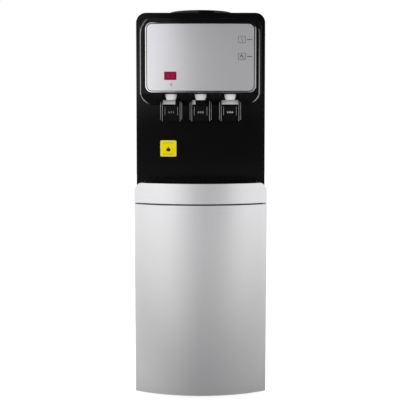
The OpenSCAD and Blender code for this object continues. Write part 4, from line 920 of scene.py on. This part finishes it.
def panel_gap_shade(finish):
    """A painted shadow: a dark line on the panel's border stands for the shaded gap to the trim. It is wider
    on the right.
    """
    mid, half = (panel_low + panel_high) / 2, (panel_high - panel_low) / 2
    right = finish.along("X") - mid.x
    x = abs(right) - (half.x - PANEL_R)
    z = abs(finish.along("Z") - mid.z) - (half.z - PANEL_R)
    out, over = x.largest(0.0), z.largest(0.0)
    wider = ((right - half.x + PANEL_R) * (1.0 / PANEL_R)).held()
    return ((out * out + over * over).root() + x.largest(z).least(0.0)) > PANEL_R - SEAM - wider * SEAM


def trim_painted_dark(finish):
    """A painted reflection: the trim's upper run is painted black as the reflection of the dark hood, from
    the left corner on and round the right one, fading downwards there.
    """
    x, below = finish.along("X"), panel_high.z - finish.along("Z")
    upper = ((TRIM_CORNER - below) * CORNER_RISE).held() * ((x - TRIM_LEFT) * LEFT_RISE).held()
    right = ((TRIM_FADE - below) * FADE_RISE).held(FADE_MOST)
    return upper.largest((x > panel_high.x - PANEL_R) * right)


HOOD_HALF, EDGE_LOW, EDGE_TOP, TOP_R, CHIN_R = 0.143, 0.6868, 0.8995, 0.047, 0.030
EDGE_W, EDGE_IN = 0.0026, 0.0037
EDGE_FROM_X, CHIN_TOP, RIGHT_FADE, CROWN, HOOD_MATT_X = 0.1225, 0.7145, 0.740, 0.865, 0.1365
SIDE_RISE, CHIN_RISE, RIGHT_FALL = 120.0, 72.0, 5.0
SIDE_LEVEL, CHIN_MORE, CROWN_LESS, UNDER_LEVEL = 0.4, 0.6, 0.2, 0.018


def hood_painted_highlight(finish):
    """Painted highlight: a light line along the hood's side edges and corners, strongest round the lower
    corners, fainter on the sides, and fading out above. The underside is painted a little paler, a painted
    lift of the shade under the hood."""
    x, z = finish.along("X"), finish.along("Z")
    middle, half = (EDGE_LOW + EDGE_TOP) / 2, (EDGE_TOP - EDGE_LOW) / 2
    right = x > 0.0
    radius = TOP_R + (z < middle) * (CHIN_R - TOP_R)
    out = (abs(x) - HOOD_HALF + radius).largest(0.0)
    over = (abs(z - middle) - half + radius).largest(0.0)
    inside = radius - (out * out + over * over).root() - right * EDGE_IN
    sides = ((abs(x) - EDGE_FROM_X) * SIDE_RISE).held()
    fade = 1.0 - right * ((z - RIGHT_FADE) * RIGHT_FALL + (z > CROWN)).held()
    level = SIDE_LEVEL + ((CHIN_TOP - z) * CHIN_RISE).held(CHIN_MORE) - (z > CROWN) * CROWN_LESS
    line = (inside > 0.0) * (inside < EDGE_W) * sides * fade * level
    return line.largest((finish.facing("Z") < -0.2) * UNDER_LEVEL)


hood_gloss = gloss_with_painted_highlights("hood_gloss", 0.0030, 0.1, 0.12, hood_painted_highlight, 0.8, HOOD_MATT_X)
finished("hood_shell", hood_gloss, 0.0016, 3)
finished("control_panel", silver_paint("panel_silver", 0.75, 0.62, 0.2, 0.04, 1.04, panel_gap_shade), 0.0004)
finished("panel_trim", satin_plate("bright_plate", 0.92, 1.0, 0.05, trim_painted_dark), 0.0008)
finished("display_window", red_filter("red_filter"), 0.0003)
finished("display_board", board_green, 0.0003)

PANEL_DEPTH, WINDOW_DEPTH = (0.00006, 0.0002), (0.00005, 0.0002)
KEY_LEFT, KEY_RIGHT, KEY_R, KEY_LINE, SIGN_LINE = 0.0882, 0.1052, 0.0025, 0.0011, 0.0020
KEYS = ((0.8326, 0.8476), (0.7930, 0.8084))
BAR_X, BAR_STEP, STEAM_SIZE, STROKE_STEP = 0.1100, 0.0025, 0.0038, 0.004
LAMP_LINE = 0.0014
LAMP_SIGN = [[(-0.0680, 0.7300), (-0.0680, 0.7385)], [(-0.0722, 0.7355), (-0.0680, 0.7362)]]
grey_ink = print_ink("grey_ink", (0.06, 0.055, 0.065))
rose_ink = print_ink("rose_ink", (0.24, 0.17, 0.19))
digit_red = print_ink("digit_red", (0.26, 0.008, 0.045))
panel_face = face_of("control_panel")


def key_outline(left, right, low, high, r):
    corners = ((right - r, high - r, 0), (left + r, high - r, 1), (left + r, low + r, 2),
        (right - r, low + r, 3))
    ring = [(x + r * math.cos(math.pi / 2 * (turn + k / 3)), z + r * math.sin(math.pi / 2 * (turn + k / 3)))
        for x, z, turn in corners for k in range(4)]
    # the long sides are cut up so that the line follows the bow of the panel
    line = []
    for (x0, z0), (x1, z1) in zip(ring, ring[1:] + ring[:1]):
        steps = max(1, round(math.hypot(x1 - x0, z1 - z0) / STROKE_STEP))
        line += [(x0 + (x1 - x0) * k / steps, z0 + (z1 - z0) * k / steps) for k in range(steps)]
    return [line + line[:1]]


ARROW = [[(-0.001, 0.004), (0.001, 0.0), (0.0035, -0.004)], [(-0.004, -0.001), (-0.001, 0.004)]]
key_x = (KEY_LEFT + KEY_RIGHT) / 2
key_levels = [(low + high) / 2 for low, high in KEYS]
key_lines = [line for low, high in KEYS for line in key_outline(KEY_LEFT, KEY_RIGHT, low, high, KEY_R)]
key_lines += steam(key_x, key_levels[0], STEAM_SIZE)
key_signs = [[(BAR_X + BAR_STEP * k, level) for k in range(5)] for level in key_levels]
key_signs += [[(key_x + x, key_levels[1] + z) for x, z in line] for line in ARROW]
printed("key_print", key_lines, KEY_LINE, PANEL_DEPTH, panel_face, grey_ink, "cabinet")
printed("key_sign", key_signs, SIGN_LINE, PANEL_DEPTH, panel_face, grey_ink, "cabinet")
printed("lamp_sign", LAMP_SIGN, LAMP_LINE, PANEL_DEPTH, panel_face, rose_ink, "cabinet")

DIGIT_HALF_W, DIGIT_HALF_H, DIGIT_OUT, DIGIT_LINE, DIGIT_END = 0.0021, 0.0044, 0.0052, 0.0008, 0.0009
window_low, window_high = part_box("display_window")
window_mid = (window_low + window_high) / 2
segments = []
for x in (window_mid.x - DIGIT_OUT, window_mid.x + DIGIT_OUT):
    reach = DIGIT_HALF_W - DIGIT_END
    for z in (window_mid.z - DIGIT_HALF_H, window_mid.z, window_mid.z + DIGIT_HALF_H):
        segments.append([(x - reach, z), (x + reach, z)])
    for side in (x - DIGIT_HALF_W, x + DIGIT_HALF_W):
        for foot in (window_mid.z - DIGIT_HALF_H, window_mid.z):
            segments.append([(side, foot + DIGIT_END), (side, foot + DIGIT_HALF_H - DIGIT_END)])
printed("display_digits", segments, DIGIT_LINE, WINDOW_DEPTH, face_of("display_window"), digit_red, "cabinet")


# Bottle seat: a black moulded cover with a round opening, a dished collar that drops into it and a neck guard
# that hangs in the collar. A white feed probe stands on the guard's ledge.
finished("top_cover", black_shell, 0.0012)
finished("bottle_collar", black_shell, 0.0006)
finished("neck_guard", black_shell, 0.0005)
finished("feed_probe", white_plastic, 0.0004)


# Door: a bowed moulded shell, painted silver like the waist band, with a white inner panel and a grey rubber
# gasket. It hangs on two steel pins at its right edge.
finished("door_skin", silver_paint("door_silver", 0.88, 0.68, 0.32, 0.05, 1.03), 0.0016, 3)
finished("door_liner", white_plastic, 0.0006)
finished("door_gasket", soft_rubber("gasket_rubber", 0.2), 0.0006)
finished("door_hinges", plated_steel, 0.0004)
